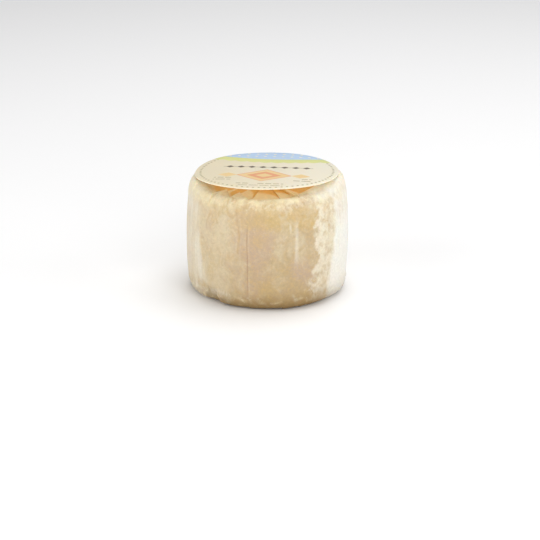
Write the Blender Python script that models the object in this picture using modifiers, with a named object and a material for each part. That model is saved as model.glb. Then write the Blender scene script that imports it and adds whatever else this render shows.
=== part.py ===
"""Crottin goat cheese: a small drum of cheese shut in a tight paper wrap, under a round label.

A strip of thin paper is wound round the drum, with its end edge upright at the front. What
stands above the rim is laid down in knife pleats, which run in to a gathered knot. The margin
below is turned under the foot the same way. The label is stuck on the knot and leans back, so
that its front edge stands clear of the pleats. The wrap shuts the cheese in, so the two are one
solid, and the label is the other.

Metres, +Z up. The front, where the label is highest, faces -Y. The origin is the centre of the
flat base. Azimuths run from the front towards +X.
"""

import math
import random

import bpy
import numpy as np
from mathutils import Matrix, Vector, noise

MM = 0.001

# The drum, over its paper
BELLY_RADIUS = 25.0 * MM
WALL_TOP_RADIUS = 24.4 * MM
WALL_FOOT_RADIUS = 24.5 * MM
BASE_RADIUS = 20.6 * MM
CREST_HEIGHT = 35.05 * MM
CREST_RADIUS = 21.7 * MM
CREST_ROLL = math.radians(0.8)
SHOULDER_HEIGHT = 4.7 * MM
FOOT_HEIGHT = 4.2 * MM

# Inside the crest: a lip, a shallow dish and the gathered knot at its middle
LIP_RADIUS = 20.4 * MM
LIP_DROP = 0.12 * MM
DISH_DROP = 0.55 * MM
DISH_EDGE = 1.6 * MM
KNOT_FOOT_RADIUS = 8.0 * MM
KNOT_RADIUS = 4.2 * MM
KNOT_HEIGHT = 36.72 * MM

# The pleats that show at the front: where each starts, in degrees, how far it lies below the
# dish at its folded edge and at its low end, and how far the low end reaches out over the lip
FRONT_PLEATS = (
    (-61.0, 0.1 * MM, 1.2 * MM, 0.5 * MM),
    (-46.0, 0.1 * MM, 1.1 * MM, 1.9 * MM),
    (-30.0, 0.1 * MM, 1.1 * MM, 2.0 * MM),
    (-13.6, 0.2 * MM, 0.6 * MM, 1.0 * MM),
    (12.0, 0.15 * MM, 0.6 * MM, 0.5 * MM),
    (26.0, 0.0 * MM, 0.2 * MM, 0.0 * MM),
    (33.5, 0.9 * MM, 1.1 * MM, 0.0 * MM),
)
FRONT_END = 74.0
END_EDGE_AZIMUTH = -13.6

# The pleats of the far side
FAR_PLEATS = 15
FAR_UNEVENNESS = 0.25
FAR_DEPTH = 1.0 * MM
FAR_REACH = 1.2 * MM
PLEAT_PARTS = (0.0, 0.12, 0.42, 0.74, 0.95)
CREST_NOTCH = 0.3

# Front right, where a broad fold makes the lip a straight crease
CREASE_AZIMUTH = math.radians(57)
CREASE_DISTANCE = 17.5 * MM

# Front left, where the pockets between the pleats reach furthest out
POCKET_AZIMUTH = math.radians(-21)
POCKET_SPREAD = math.radians(24)
POCKET_REACH = 1.0 * MM

# The wall: the wound strip's end edge, the fainter folds, and a hand-ladled unevenness
END_EDGE_DEPTH = 0.3 * MM
FOLD_DEPTH = 0.14 * MM
FOOT_FOLD_SHARE = 0.2
FOLD_SWAY = math.radians(1.4)
WALL_WAVE = 0.22 * MM
CREST_WAVE = 0.25 * MM
WAVE_LENGTH = 17.0 * MM
SEED = 11

# The label
LABEL_RADIUS = 22.05 * MM
LABEL_THICKNESS = 0.3 * MM
LABEL_HEIGHT = 37.2 * MM
LABEL_OFFSET = -0.15 * MM
LABEL_LEAN = math.radians(2.3)
LABEL_ROLL = math.radians(0.5)
LABEL_DROOP = 0.6 * MM
LABEL_RINGS = 6
LABEL_STEPS = 80

# Steps along the outline's stretches
KNOT_STEPS = 3
DISH_STEPS = 3
LIP_STEPS = 3
SHOULDER_STEPS = 6
WALL_STEPS = 7
FOOT_STEPS = 6


def clear_scene():
    for thing in list(bpy.data.objects):
        bpy.data.objects.remove(thing, do_unlink=True)


def smooth(value, start, end):
    """0 before start and 1 past end, with a soft step between."""
    share = min(1.0, max(0.0, (value - start) / (end - start)))
    return share * share * (3.0 - 2.0 * share)


def paper(name, colour, roughness):
    """A matt, uncoated paper."""
    finish = bpy.data.materials.new(name)
    finish.use_nodes = True
    shader = finish.node_tree.nodes["Principled BSDF"]
    shader.inputs["Base Color"].default_value = (*colour, 1.0)
    shader.inputs["Roughness"].default_value = roughness
    shader.inputs["Metallic"].default_value = 0.0
    finish.diffuse_color = (*colour, 1.0)
    return finish


def knot_outline():
    """From the middle of the gathered knot down to its foot."""
    foot_height = CREST_HEIGHT - DISH_DROP
    points = [(0.0, KNOT_HEIGHT), (0.55 * KNOT_RADIUS, KNOT_HEIGHT)]
    for step in range(KNOT_STEPS + 1):
        share = step / KNOT_STEPS
        radius = KNOT_RADIUS + (KNOT_FOOT_RADIUS - KNOT_RADIUS) * share
        fall = 0.5 - 0.5 * math.cos(math.pi * (0.15 + 0.85 * share))
        points.append((radius, KNOT_HEIGHT + (foot_height - KNOT_HEIGHT) * fall))
    return points


def dish_outline():
    """Across the floor of the dish, up to the lip and over it to the crest."""
    floor = CREST_HEIGHT - DISH_DROP
    floor_edge = LIP_RADIUS - DISH_EDGE
    points = []
    for step in range(1, DISH_STEPS + 1):
        points.append((KNOT_FOOT_RADIUS + (floor_edge - KNOT_FOOT_RADIUS) * step / DISH_STEPS, floor))
    for step in range(1, LIP_STEPS + 1):
        share = step / LIP_STEPS
        points.append((floor_edge + DISH_EDGE * share, floor + (DISH_DROP - LIP_DROP) * smooth(share, 0, 1)))
    points.append((CREST_RADIUS, CREST_HEIGHT))
    return points


def wall_outline():
    """Over the shoulder, down the slightly swollen wall and round the foot to the base."""
    points = []
    for step in range(1, SHOULDER_STEPS + 1):
        turn = 0.5 * math.pi * step / SHOULDER_STEPS
        radius = CREST_RADIUS + (WALL_TOP_RADIUS - CREST_RADIUS) * math.sin(turn)
        points.append((radius, CREST_HEIGHT - SHOULDER_HEIGHT * (1.0 - math.cos(turn))))
    wall_top = CREST_HEIGHT - SHOULDER_HEIGHT
    swell = BELLY_RADIUS - 0.5 * (WALL_TOP_RADIUS + WALL_FOOT_RADIUS)
    for step in range(1, WALL_STEPS):
        share = step / WALL_STEPS
        straight = WALL_TOP_RADIUS + (WALL_FOOT_RADIUS - WALL_TOP_RADIUS) * share
        radius = straight + swell * 4.0 * share * (1.0 - share)
        points.append((radius, wall_top + (FOOT_HEIGHT - wall_top) * share))
    for step in range(FOOT_STEPS + 1):
        turn = 0.5 * math.pi * step / FOOT_STEPS
        radius = BASE_RADIUS + (WALL_FOOT_RADIUS - BASE_RADIUS) * math.cos(turn)
        points.append((radius, FOOT_HEIGHT * (1.0 - math.sin(turn))))
    return points


def pleats():
    """(start in degrees, drop at its folded edge, drop at its low end, reach), once round."""
    draw = random.Random(SEED)
    made = list(FRONT_PLEATS)
    widths = [1.0 + FAR_UNEVENNESS * draw.uniform(-1.0, 1.0) for _ in range(FAR_PLEATS)]
    far_width = 360.0 + FRONT_PLEATS[0][0] - FRONT_END
    start = FRONT_END
    for width in widths:
        depth = FAR_DEPTH * draw.uniform(0.75, 1.2)
        made.append((start, 0.2 * depth * draw.random(), depth, FAR_REACH * draw.random()))
        start += far_width * width / sum(widths)
    return made


def columns():
    """(azimuth, pleat drop, reach of its low end, wall fold) of each row of points, once round."""
    draw = random.Random(SEED + 1)
    made = pleats()
    rows = []
    for (start, high, low, reach), following in zip(made, made[1:] + [(360.0 + made[0][0],)]):
        end = following[0]
        wall_fold = END_EDGE_DEPTH if end == END_EDGE_AZIMUTH else FOLD_DEPTH * draw.random() ** 2
        for part in PLEAT_PARTS:
            azimuth = math.radians(start + (end - start) * part)
            rows.append((azimuth, high + (low - high) * part, reach * part**2, wall_fold * part**3))
    return rows


def turned(name, outline, steps):
    """The outline, given top to bottom, turned once about Z into a mesh."""
    guide = bpy.data.meshes.new(name)
    guide.from_pydata(
        [(radius, 0.0, height) for radius, height in outline],
        [(i, i + 1) for i in range(len(outline) - 1)],
        [],
    )
    thing = bpy.data.objects.new(name, guide)
    bpy.context.scene.collection.objects.link(thing)
    screw = thing.modifiers.new("turn", "SCREW")
    screw.axis = "Z"
    screw.steps = screw.render_steps = steps
    screw.use_merge_vertices = True
    screw.merge_threshold = 0.01 * MM
    bpy.context.view_layer.objects.active = thing
    bpy.ops.object.modifier_apply(modifier=screw.name)
    return thing


def lip_radius(azimuth, reach):
    """Where the dish ends: further out in a pleat's low end, straight along the crease."""
    off = math.remainder(azimuth - CREASE_AZIMUTH, math.tau)
    if abs(off) > math.radians(60):
        return LIP_RADIUS + reach
    return min(LIP_RADIUS + reach, CREASE_DISTANCE / math.cos(off))


def crest_radius(azimuth):
    """Where the rim is highest: a little further out round the front left pockets."""
    off = math.remainder(azimuth - POCKET_AZIMUTH, math.tau)
    return CREST_RADIUS + POCKET_REACH * math.exp(-((off / POCKET_SPREAD) ** 2))


def laid_in_paper(point, rows):
    """A point of the plain turned drum, moved to where the pleated paper has it."""
    plain_radius = math.hypot(point.x, point.y)
    if plain_radius < 0.01 * MM:
        return point.copy()
    turn = math.atan2(point.y, point.x) % math.tau
    azimuth, drop, reach, wall_fold = rows[round(turn / math.tau * len(rows)) % len(rows)]
    height = point.z
    on_top = smooth(height, CREST_HEIGHT - SHOULDER_HEIGHT, CREST_HEIGHT - DISH_DROP)
    off_base = smooth(height, 0.0, FOOT_HEIGHT)
    radius = plain_radius
    if height > CREST_HEIGHT - SHOULDER_HEIGHT and plain_radius > KNOT_FOOT_RADIUS:
        stops = (KNOT_FOOT_RADIUS, LIP_RADIUS, CREST_RADIUS, WALL_TOP_RADIUS)
        places = (KNOT_FOOT_RADIUS, lip_radius(azimuth, reach), crest_radius(azimuth), WALL_TOP_RADIUS)
        radius = float(np.interp(plain_radius, stops, places))
        height -= drop * smooth(LIP_RADIUS - plain_radius, 0.0, DISH_EDGE)
        height -= CREST_NOTCH * reach * smooth(WALL_TOP_RADIUS - plain_radius, 0.5 * MM, 2.7 * MM)
    elif plain_radius < KNOT_FOOT_RADIUS:
        height -= drop * smooth(plain_radius, 0.9 * KNOT_RADIUS, KNOT_FOOT_RADIUS) * on_top
    way = Vector((math.sin(azimuth), -math.cos(azimuth), 0.0))
    place = (way * radius + Vector((0.0, 0.0, height))) / WAVE_LENGTH
    foot_fold = FOOT_FOLD_SHARE * drop * (1.0 - smooth(height, 0.6 * FOOT_HEIGHT, 1.6 * FOOT_HEIGHT))
    radius += (WALL_WAVE * noise.noise(place) - wall_fold * (1.0 - on_top) - foot_fold) * off_base
    sideways = FOLD_SWAY * noise.noise(Vector((5.0 * way.x, 5.0 * way.y, 1.5 * place.z))) * off_base
    way.rotate(Matrix.Rotation(sideways, 3, "Z"))
    height += CREST_WAVE * noise.noise(place + Vector((3.0, 5.0, 7.0))) * on_top
    height += math.tan(CREST_ROLL) * way.x * radius * on_top
    return way * radius + Vector((0.0, 0.0, height))


def make_wrapped_cheese(finish):
    """The drum in its paper: a turned solid, its points then moved into pleats and folds."""
    rows = columns()
    outline = knot_outline() + dish_outline() + wall_outline() + [(0.0, 0.0)]
    thing = turned("wrapped_cheese", outline, len(rows))
    for vertex in thing.data.vertices:
        vertex.co = laid_in_paper(vertex.co, rows)
    thing.data.materials.append(finish)
    thing.data.shade_smooth()
    thing.data.set_sharp_from_angle(angle=math.radians(40))
    return thing


def make_label(finish):
    """A thin card disc, its sides a little drooped, that leans back from its raised front edge."""
    half = 0.5 * LABEL_THICKNESS
    radii = [LABEL_RADIUS * ring / LABEL_RINGS for ring in range(LABEL_RINGS + 1)]
    outline = [(radius, half) for radius in radii] + [(radius, -half) for radius in reversed(radii)]
    thing = turned("label", outline, LABEL_STEPS)
    for vertex in thing.data.vertices:
        vertex.co.z -= LABEL_DROOP * (vertex.co.x / LABEL_RADIUS) ** 4
    lean = Matrix.Rotation(-LABEL_LEAN, 4, "X")
    roll = Matrix.Rotation(-LABEL_ROLL, 4, "Y")
    thing.matrix_world = Matrix.Translation((LABEL_OFFSET, 0.0, LABEL_HEIGHT)) @ lean @ roll
    thing.data.materials.append(finish)
    thing.data.shade_smooth()
    thing.data.set_sharp_from_angle(angle=math.radians(40))
    return thing


def main():
    clear_scene()
    group = bpy.data.collections.new("crottin_goat_cheese")
    bpy.context.scene.collection.children.link(group)
    centre = bpy.data.objects.new("base_centre", None)
    group.objects.link(centre)
    wrap_paper = paper("wrap_paper", (0.68, 0.52, 0.31), 0.55)
    label_paper = paper("label_paper", (0.86, 0.79, 0.60), 0.6)
    for thing in (make_wrapped_cheese(wrap_paper), make_label(label_paper)):
        bpy.context.scene.collection.objects.unlink(thing)
        group.objects.link(thing)
        thing.parent = centre


main()
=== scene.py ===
"""Dresses the crottin goat cheese: its pleated, clinging paper wrap and its round printed label.

Every length is in metres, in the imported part's frame: +Z up, the origin at the centre of the
flat base, the front towards -Y. Azimuths run from the front towards +X. Where a class works in
millimetres and degrees instead, its docstring says so.
"""

from __future__ import annotations

import logging
import math
import random
from dataclasses import dataclass, field
from enum import Enum
from typing import Any

import bpy
import numpy as np
from mathutils import Matrix, Vector, noise


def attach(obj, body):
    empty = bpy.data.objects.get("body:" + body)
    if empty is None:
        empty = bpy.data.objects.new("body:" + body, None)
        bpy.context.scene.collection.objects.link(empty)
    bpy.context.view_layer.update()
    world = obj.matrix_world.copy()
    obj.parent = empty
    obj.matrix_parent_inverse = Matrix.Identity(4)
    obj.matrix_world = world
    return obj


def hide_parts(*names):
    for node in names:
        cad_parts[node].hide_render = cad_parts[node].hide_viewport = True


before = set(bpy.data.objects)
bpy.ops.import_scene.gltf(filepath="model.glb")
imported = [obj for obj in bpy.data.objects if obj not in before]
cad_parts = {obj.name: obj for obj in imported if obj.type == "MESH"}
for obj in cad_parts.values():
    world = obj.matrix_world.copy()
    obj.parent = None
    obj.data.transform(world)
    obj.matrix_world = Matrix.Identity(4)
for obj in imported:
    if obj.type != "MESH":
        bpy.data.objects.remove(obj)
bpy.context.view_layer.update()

MM = 0.001
log = logging.getLogger("crottin")

Pair = tuple[float, float]
Stretch = tuple[Pair, Pair]


class PaperState(Enum):
    """How the wrap's paper lies at a point, and the light and shade painted there, each kept as an attribute
    of its mesh.
    """

    # Loose paper, with painted light under the label's right end and along the wall's creases
    LOOSE = "loose"
    CRUMPLED = "crumpled"
    DRY = "dry"
    # The fat's golden tint, with painted shade in the golden fold and in the dips between the rim's lumps
    FAT_AND_PAINTED_SHADE = "fat_and_painted_shade"
    # Painted warm glow and shade in the folds under the label
    PAINTED_FOLD_GLOW = "painted_fold_glow"
    # Painted shade along the paper's end edge and the golden fold
    SEAM = "painted_edge_shade"
    # Dried cream, with painted highlights on the crest, the lip and the creases
    CREASE = "crease"
    # Painted shade, darker towards the foot
    PAINTED_LOW_SHADE = "painted_low_shade"


class Node(Enum):
    """The part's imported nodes."""

    CHEESE = "wrapped_cheese"
    LABEL = "label"


def smooth(value: float, start: float, end: float) -> float:
    """Gives a soft step.

    Args:
        value: Where on the scale.
        start: Where the step begins, with 0 before it.
        end: Where the step is done, with 1 past it.

    Returns:
        A share from 0 to 1.
    """
    share = min(1.0, max(0.0, (value - start) / (end - start)))
    return share * share * (3.0 - 2.0 * share)


def within(value: float, start: Pair, end: Pair) -> float:
    """Gives 1 between a soft start and a soft end, and 0 outside them."""
    return smooth(value, *start) * (1.0 - smooth(value, *end))


def bell(value: float, middle: float, spread: float) -> float:
    """Gives 1 at the middle, falling to about a third at the spread on either side."""
    return math.exp(-(((value - middle) / spread) ** 2))


def per_mm(size: float) -> float:
    """Gives a texture's scale from the real size of its grain, in millimetres."""
    return 1.0 / (size * MM)


def linear(hex_colour: str) -> tuple[float, float, float, float]:
    """Turns an sRGB hex colour to linear light.

    Args:
        hex_colour: Such as "#E8D9B8".

    Returns:
        Red, green, blue and an alpha of 1.
    """
    parts = [int(hex_colour[i : i + 2], 16) / 255.0 for i in (1, 3, 5)]
    red, green, blue = (p / 12.92 if p <= 0.04045 else ((p + 0.055) / 1.055) ** 2.4 for p in parts)
    return red, green, blue, 1.0


def add_node(
    tree: bpy.types.NodeTree,
    kind: str,
    settings: dict[str, Any] | None = None,
    inputs: dict[int | str, Any] | None = None,
) -> bpy.types.Node:
    """Adds a node with its settings and links.

    Args:
        tree: The material's nodes.
        kind: The node's type, such as "ShaderNodeMath".
        settings: The node's own values, by name.
        inputs: For each input, by name or number, its value, a socket to link to it, or a node
            whose first output is linked to it.

    Returns:
        The new node.
    """
    node = tree.nodes.new(kind)
    for name, value in (settings or {}).items():
        setattr(node, name, value)
    for name, value in (inputs or {}).items():
        source = value.outputs[0] if isinstance(value, bpy.types.Node) else value
        if isinstance(source, bpy.types.NodeSocket):
            tree.links.new(source, node.inputs[name])
        else:
            node.inputs[name].default_value = source
    return node


def new_material(name: str, looks: dict[str, Any]) -> tuple[bpy.types.Material, bpy.types.Node]:
    """Makes a material that has only its shader.

    Args:
        name: The real material's name.
        looks: The shader's values, by name.

    Returns:
        The material and its Principled shader.
    """
    material = bpy.data.materials.new(name)
    material.use_nodes = True
    shader = material.node_tree.nodes["Principled BSDF"]
    for look, value in looks.items():
        shader.inputs[look].default_value = value
    return material, shader


def deselect_all() -> None:
    """Leaves nothing selected, in object mode."""
    if bpy.context.object and bpy.context.object.mode != "OBJECT":
        bpy.ops.object.mode_set(mode="OBJECT")
    bpy.ops.object.select_all(action="DESELECT")


def apply_modifier(piece: bpy.types.Object, kind: str, settings: dict[str, Any]) -> None:
    """Adds a modifier to a piece and applies it at once.

    Args:
        piece: The piece to change.
        kind: The modifier's type, such as "SOLIDIFY".
        settings: The modifier's values, by name.
    """
    modifier = piece.modifiers.new(kind.title(), kind)
    for name, value in settings.items():
        setattr(modifier, name, value)
    deselect_all()
    bpy.context.view_layer.objects.active = piece
    piece.select_set(True)
    bpy.ops.object.modifier_apply(modifier=modifier.name)


def turned(name: str, outline: list[Pair], steps: int) -> bpy.types.Object:
    """Draws an outline point by point and spins it once about Z.

    Args:
        name: The piece's name.
        outline: Radius and height of each point; both ends lie on the axis.
        steps: How many columns of faces to make.

    Returns:
        The closed piece.
    """
    deselect_all()
    bpy.ops.mesh.primitive_plane_add(size=MM, location=(0.0, 0.0, 0.0))
    piece = bpy.context.object
    piece.name = piece.data.name = name
    bpy.ops.object.mode_set(mode="EDIT")
    bpy.ops.mesh.select_all(action="SELECT")
    bpy.ops.mesh.merge(type="CENTER")
    bpy.ops.transform.translate(value=(outline[0][0], 0.0, outline[0][1]))
    for (radius, height), (next_radius, next_height) in zip(outline, outline[1:]):
        step = (next_radius - radius, 0.0, next_height - height)
        bpy.ops.mesh.extrude_vertices_move(TRANSFORM_OT_translate={"value": step})
    bpy.ops.mesh.select_all(action="SELECT")
    bpy.ops.mesh.spin(steps=steps, angle=math.tau, center=(0.0, 0.0, 0.0), axis=(0.0, 0.0, 1.0))
    bpy.ops.mesh.select_all(action="SELECT")
    bpy.ops.mesh.remove_doubles(threshold=0.002 * MM)
    bpy.ops.mesh.normals_make_consistent(inside=False)
    bpy.ops.object.mode_set(mode="OBJECT")
    return piece


def smooth_shaded(piece: bpy.types.Object, sharp: float) -> None:
    """Shades a piece smooth, apart from edges past an angle.

    Args:
        piece: The piece to shade.
        sharp: The angle from which an edge stays sharp.
    """
    deselect_all()
    bpy.context.view_layer.objects.active = piece
    piece.select_set(True)
    bpy.ops.object.shade_smooth_by_angle(angle=sharp)


@dataclass(frozen=True)
class Grain:
    """A cloudy pattern of the paper.

    Attributes:
        size: The size of its grain, in millimetres.
        detail: How many finer layers it has.
        roughness: How strong the finer layers are.
        distortion: How far it swirls.
        upright: How little heights count in it, which draws the grain out upright.
        relief: How far it raises the paper, in millimetres.
    """

    size: float
    detail: float
    roughness: float
    distortion: float = 0.0
    upright: float = 1.0
    relief: float = 0.0


class PaperGrain(Enum):
    """The patterns that break up the paper's colours, from the broadest to the finest."""

    TINT = Grain(10.0, 2.0, 0.5, 0.4)
    CLOUDS = Grain(3.4, 5.0, 0.6, 0.9, upright=0.8, relief=0.1)
    VEINS = Grain(1.4, 5.0, 0.68, 0.7, upright=0.8, relief=0.1)
    STREAKS = Grain(1.5, 3.0, 0.5, 0.3, upright=0.1)
    CRUMB = Grain(0.85, 3.0, 0.6, relief=0.06)
    FIBRE = Grain(0.3, 2.0, 0.6, relief=0.025)


@dataclass(frozen=True)
class Tone:
    """One colour of the paper, and where it shows.

    Attributes:
        colour: Its sRGB hex value.
        state: The state that it follows, if any.
        grain: The pattern that frays it, or that lays it where it follows no state.
        reach: How much the pattern counts beside the state.
        middle: The sum of both at which the colour half shows.
        softness: How far below that it is gone, and how far above that it is full.
        strength: How far it covers what lies under it.
        curve: How it comes in between the two.
    """

    colour: str
    state: PaperState | None = None
    grain: PaperGrain | None = None
    reach: float = 1.0
    middle: float = 0.5
    softness: float = 0.5
    strength: float = 1.0
    curve: str = "SMOOTHSTEP"


@dataclass(frozen=True)
class ClingingPaper:
    """Greaseproof paper that clings to a moist cheese.

    Thin calendered paper, close to see-through where moist cheese wets it and cream where it
    stands off. The eye gets a cloudy tan and white crumple veins, with painted light and shade: a warm
    glow in the folds, highlights on the crest, the lip and the creases, and shade towards the foot.
    """

    tan_pink: str = "#C7AF96"
    tan_yellow: str = "#C6AF89"
    # The fat's golden tint, also painted shade in the golden fold and in the dips between the rim's lumps.
    golden: str = "#D1B479"
    cream: str = "#D6C6A6"
    vein: str = "#ECE4D0"
    # The pale of loose paper, also painted light under the label's right end and along the wall's creases.
    ivory: str = "#F1EFE6"
    # Painted glow in the folds under the label: warm by the lip, deep orange shade further in.
    painted_fold_glow_rim: str = "#E0CEA6"
    painted_fold_glow: str = "#D8AE63"
    # Painted shade: the dark line under the paper's overlapping end edge, and along the golden fold.
    painted_edge_shade: str = "#AC8468"
    # The dried paper's cream, also painted highlight on the crest, the lip, the lumps' rises, the creases and
    # beside edges.
    crease: str = "#ECE0BC"
    # Painted shade that darkens the wall towards the foot.
    painted_low_shade: str = "#866830"
    roughness: float = 0.5
    gloss_spread: float = 0.08
    pattern_range: Pair = (0.35, 0.65)
    crumb_contrast: float = 0.06
    fibre_contrast: float = 0.04
    contrast_range: Pair = (0.3, 0.7)

    def material(self) -> bpy.types.Material:
        """Builds the paper's material.

        Returns:
            The material, which reads Object coordinates and the mesh's PaperState attributes.
        """
        looks = {
            "Specular IOR Level": 0.35,
            "Subsurface Weight": 0.45,
            "Subsurface Radius": (1.0, 0.62, 0.35),
            "Subsurface Scale": 2.0 * MM,
        }
        material, shader = new_material("greaseproof_paper", looks)
        tree = material.node_tree
        place = add_node(tree, "ShaderNodeTexCoord").outputs["Object"]
        grains = {}
        for kind in PaperGrain:
            stretch = {"Vector": place, "Scale": (1.0, 1.0, kind.value.upright)}
            pattern = {
                "Vector": add_node(tree, "ShaderNodeMapping", {}, stretch),
                "Scale": per_mm(kind.value.size),
                "Detail": kind.value.detail,
                "Roughness": kind.value.roughness,
                "Distortion": kind.value.distortion,
            }
            grains[kind] = add_node(tree, "ShaderNodeTexNoise", {}, pattern)
        tree.links.new(self._colour(tree, grains), shader.inputs["Base Color"])
        low, high = self.pattern_range
        gloss = {
            "Value": grains[PaperGrain.CLOUDS],
            "From Min": low,
            "From Max": high,
            "To Min": self.roughness - self.gloss_spread,
            "To Max": self.roughness + self.gloss_spread,
        }
        tree.links.new(add_node(tree, "ShaderNodeMapRange", {}, gloss).outputs[0], shader.inputs["Roughness"])
        relief = {}
        for kind, pattern in grains.items():
            if kind.value.relief:
                relief |= {"Strength": 0.6, "Distance": kind.value.relief * MM, "Height": pattern}
                relief["Normal"] = add_node(tree, "ShaderNodeBump", {}, relief)
        tree.links.new(relief["Normal"].outputs[0], shader.inputs["Normal"])
        return material

    def _tones(self) -> tuple[Tone, ...]:
        """Lists the paper's colours.

        Returns:
            The tones over the plain tan, lowest first.
        """
        return (
            Tone(self.tan_yellow, None, PaperGrain.TINT, softness=0.14),
            Tone(self.golden, None, PaperGrain.CRUMB, middle=0.56, softness=0.08, strength=0.35),
            Tone(self.golden, PaperState.FAT_AND_PAINTED_SHADE, strength=0.8, curve="LINEAR"),
            Tone(self.cream, PaperState.DRY, PaperGrain.CLOUDS, 1.9, 1.45, 0.4),
            Tone(self.vein, PaperState.CRUMPLED, PaperGrain.VEINS, 1.7, 1.35, 0.36, 0.9),
            Tone(self.ivory, PaperState.LOOSE, PaperGrain.STREAKS, 0.7, 0.85, 0.5, 0.95),
            Tone(self.painted_low_shade, PaperState.PAINTED_LOW_SHADE, curve="LINEAR"),
            Tone(self.painted_fold_glow_rim, PaperState.PAINTED_FOLD_GLOW, middle=0.1, softness=0.1),
            Tone(self.painted_fold_glow, PaperState.PAINTED_FOLD_GLOW, middle=0.61, softness=0.39),
            Tone(self.crease, PaperState.CREASE, PaperGrain.VEINS, 0.6, 0.8, 0.5, 0.75),
            Tone(self.painted_edge_shade, PaperState.SEAM, strength=0.6, curve="LINEAR"),
        )

    def _colour(
        self, tree: bpy.types.NodeTree, grains: dict[PaperGrain, bpy.types.Node]
    ) -> bpy.types.NodeSocket:
        """Lays the paper's tones over each other, and a fine grain over all of them.

        Args:
            tree: The material's nodes.
            grains: The pattern of each grain.

        Returns:
            The colour.
        """
        states = {}
        for kind in PaperState:
            state = add_node(tree, "ShaderNodeAttribute", {"attribute_name": kind.value})
            states[kind] = state.outputs["Fac"]
        colour = linear(self.tan_pink)
        for tone in self._tones():
            terms = {0: grains.get(tone.grain, 0.0), 1: tone.reach, 2: states.get(tone.state, 0.0)}
            share = {
                "Value": add_node(tree, "ShaderNodeMath", {"operation": "MULTIPLY_ADD"}, terms),
                "From Min": tone.middle - tone.softness,
                "From Max": tone.middle + tone.softness,
                "To Max": tone.strength,
            }
            part = add_node(tree, "ShaderNodeMapRange", {"interpolation_type": tone.curve}, share)
            layers = {0: part, 6: colour, 7: linear(tone.colour)}
            colour = add_node(tree, "ShaderNodeMix", {"data_type": "RGBA"}, layers).outputs[2]
        low, high = self.contrast_range
        contrasts = {PaperGrain.CRUMB: self.crumb_contrast, PaperGrain.FIBRE: self.fibre_contrast}
        for kind, contrast in contrasts.items():
            shade = {
                "Value": grains[kind],
                "From Min": low,
                "From Max": high,
                "To Min": 1.0 - contrast,
                "To Max": 1.0 + contrast,
            }
            layers = {0: 1.0, 6: colour, 7: add_node(tree, "ShaderNodeMapRange", {}, shade)}
            multiply = {"data_type": "RGBA", "blend_type": "MULTIPLY"}
            colour = add_node(tree, "ShaderNodeMix", multiply, layers).outputs[2]
        return colour


@dataclass(frozen=True)
class Lozenge:
    """A printed set of lozenges, one in the other.

    Attributes:
        middle: Where it lies on the print, in millimetres to the right and to the far side.
        rings: The ink and half the depth of each lozenge, from the largest.
    """

    middle: Pair
    rings: tuple[tuple[str, float], ...]


@dataclass(frozen=True)
class StrokeBlock:
    """A printed block of short plain strokes.

    Attributes:
        middle: Where it lies on the print, in millimetres to the right and to the far side.
        half: Half its width and half its depth.
    """

    middle: Pair
    half: Pair


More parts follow.
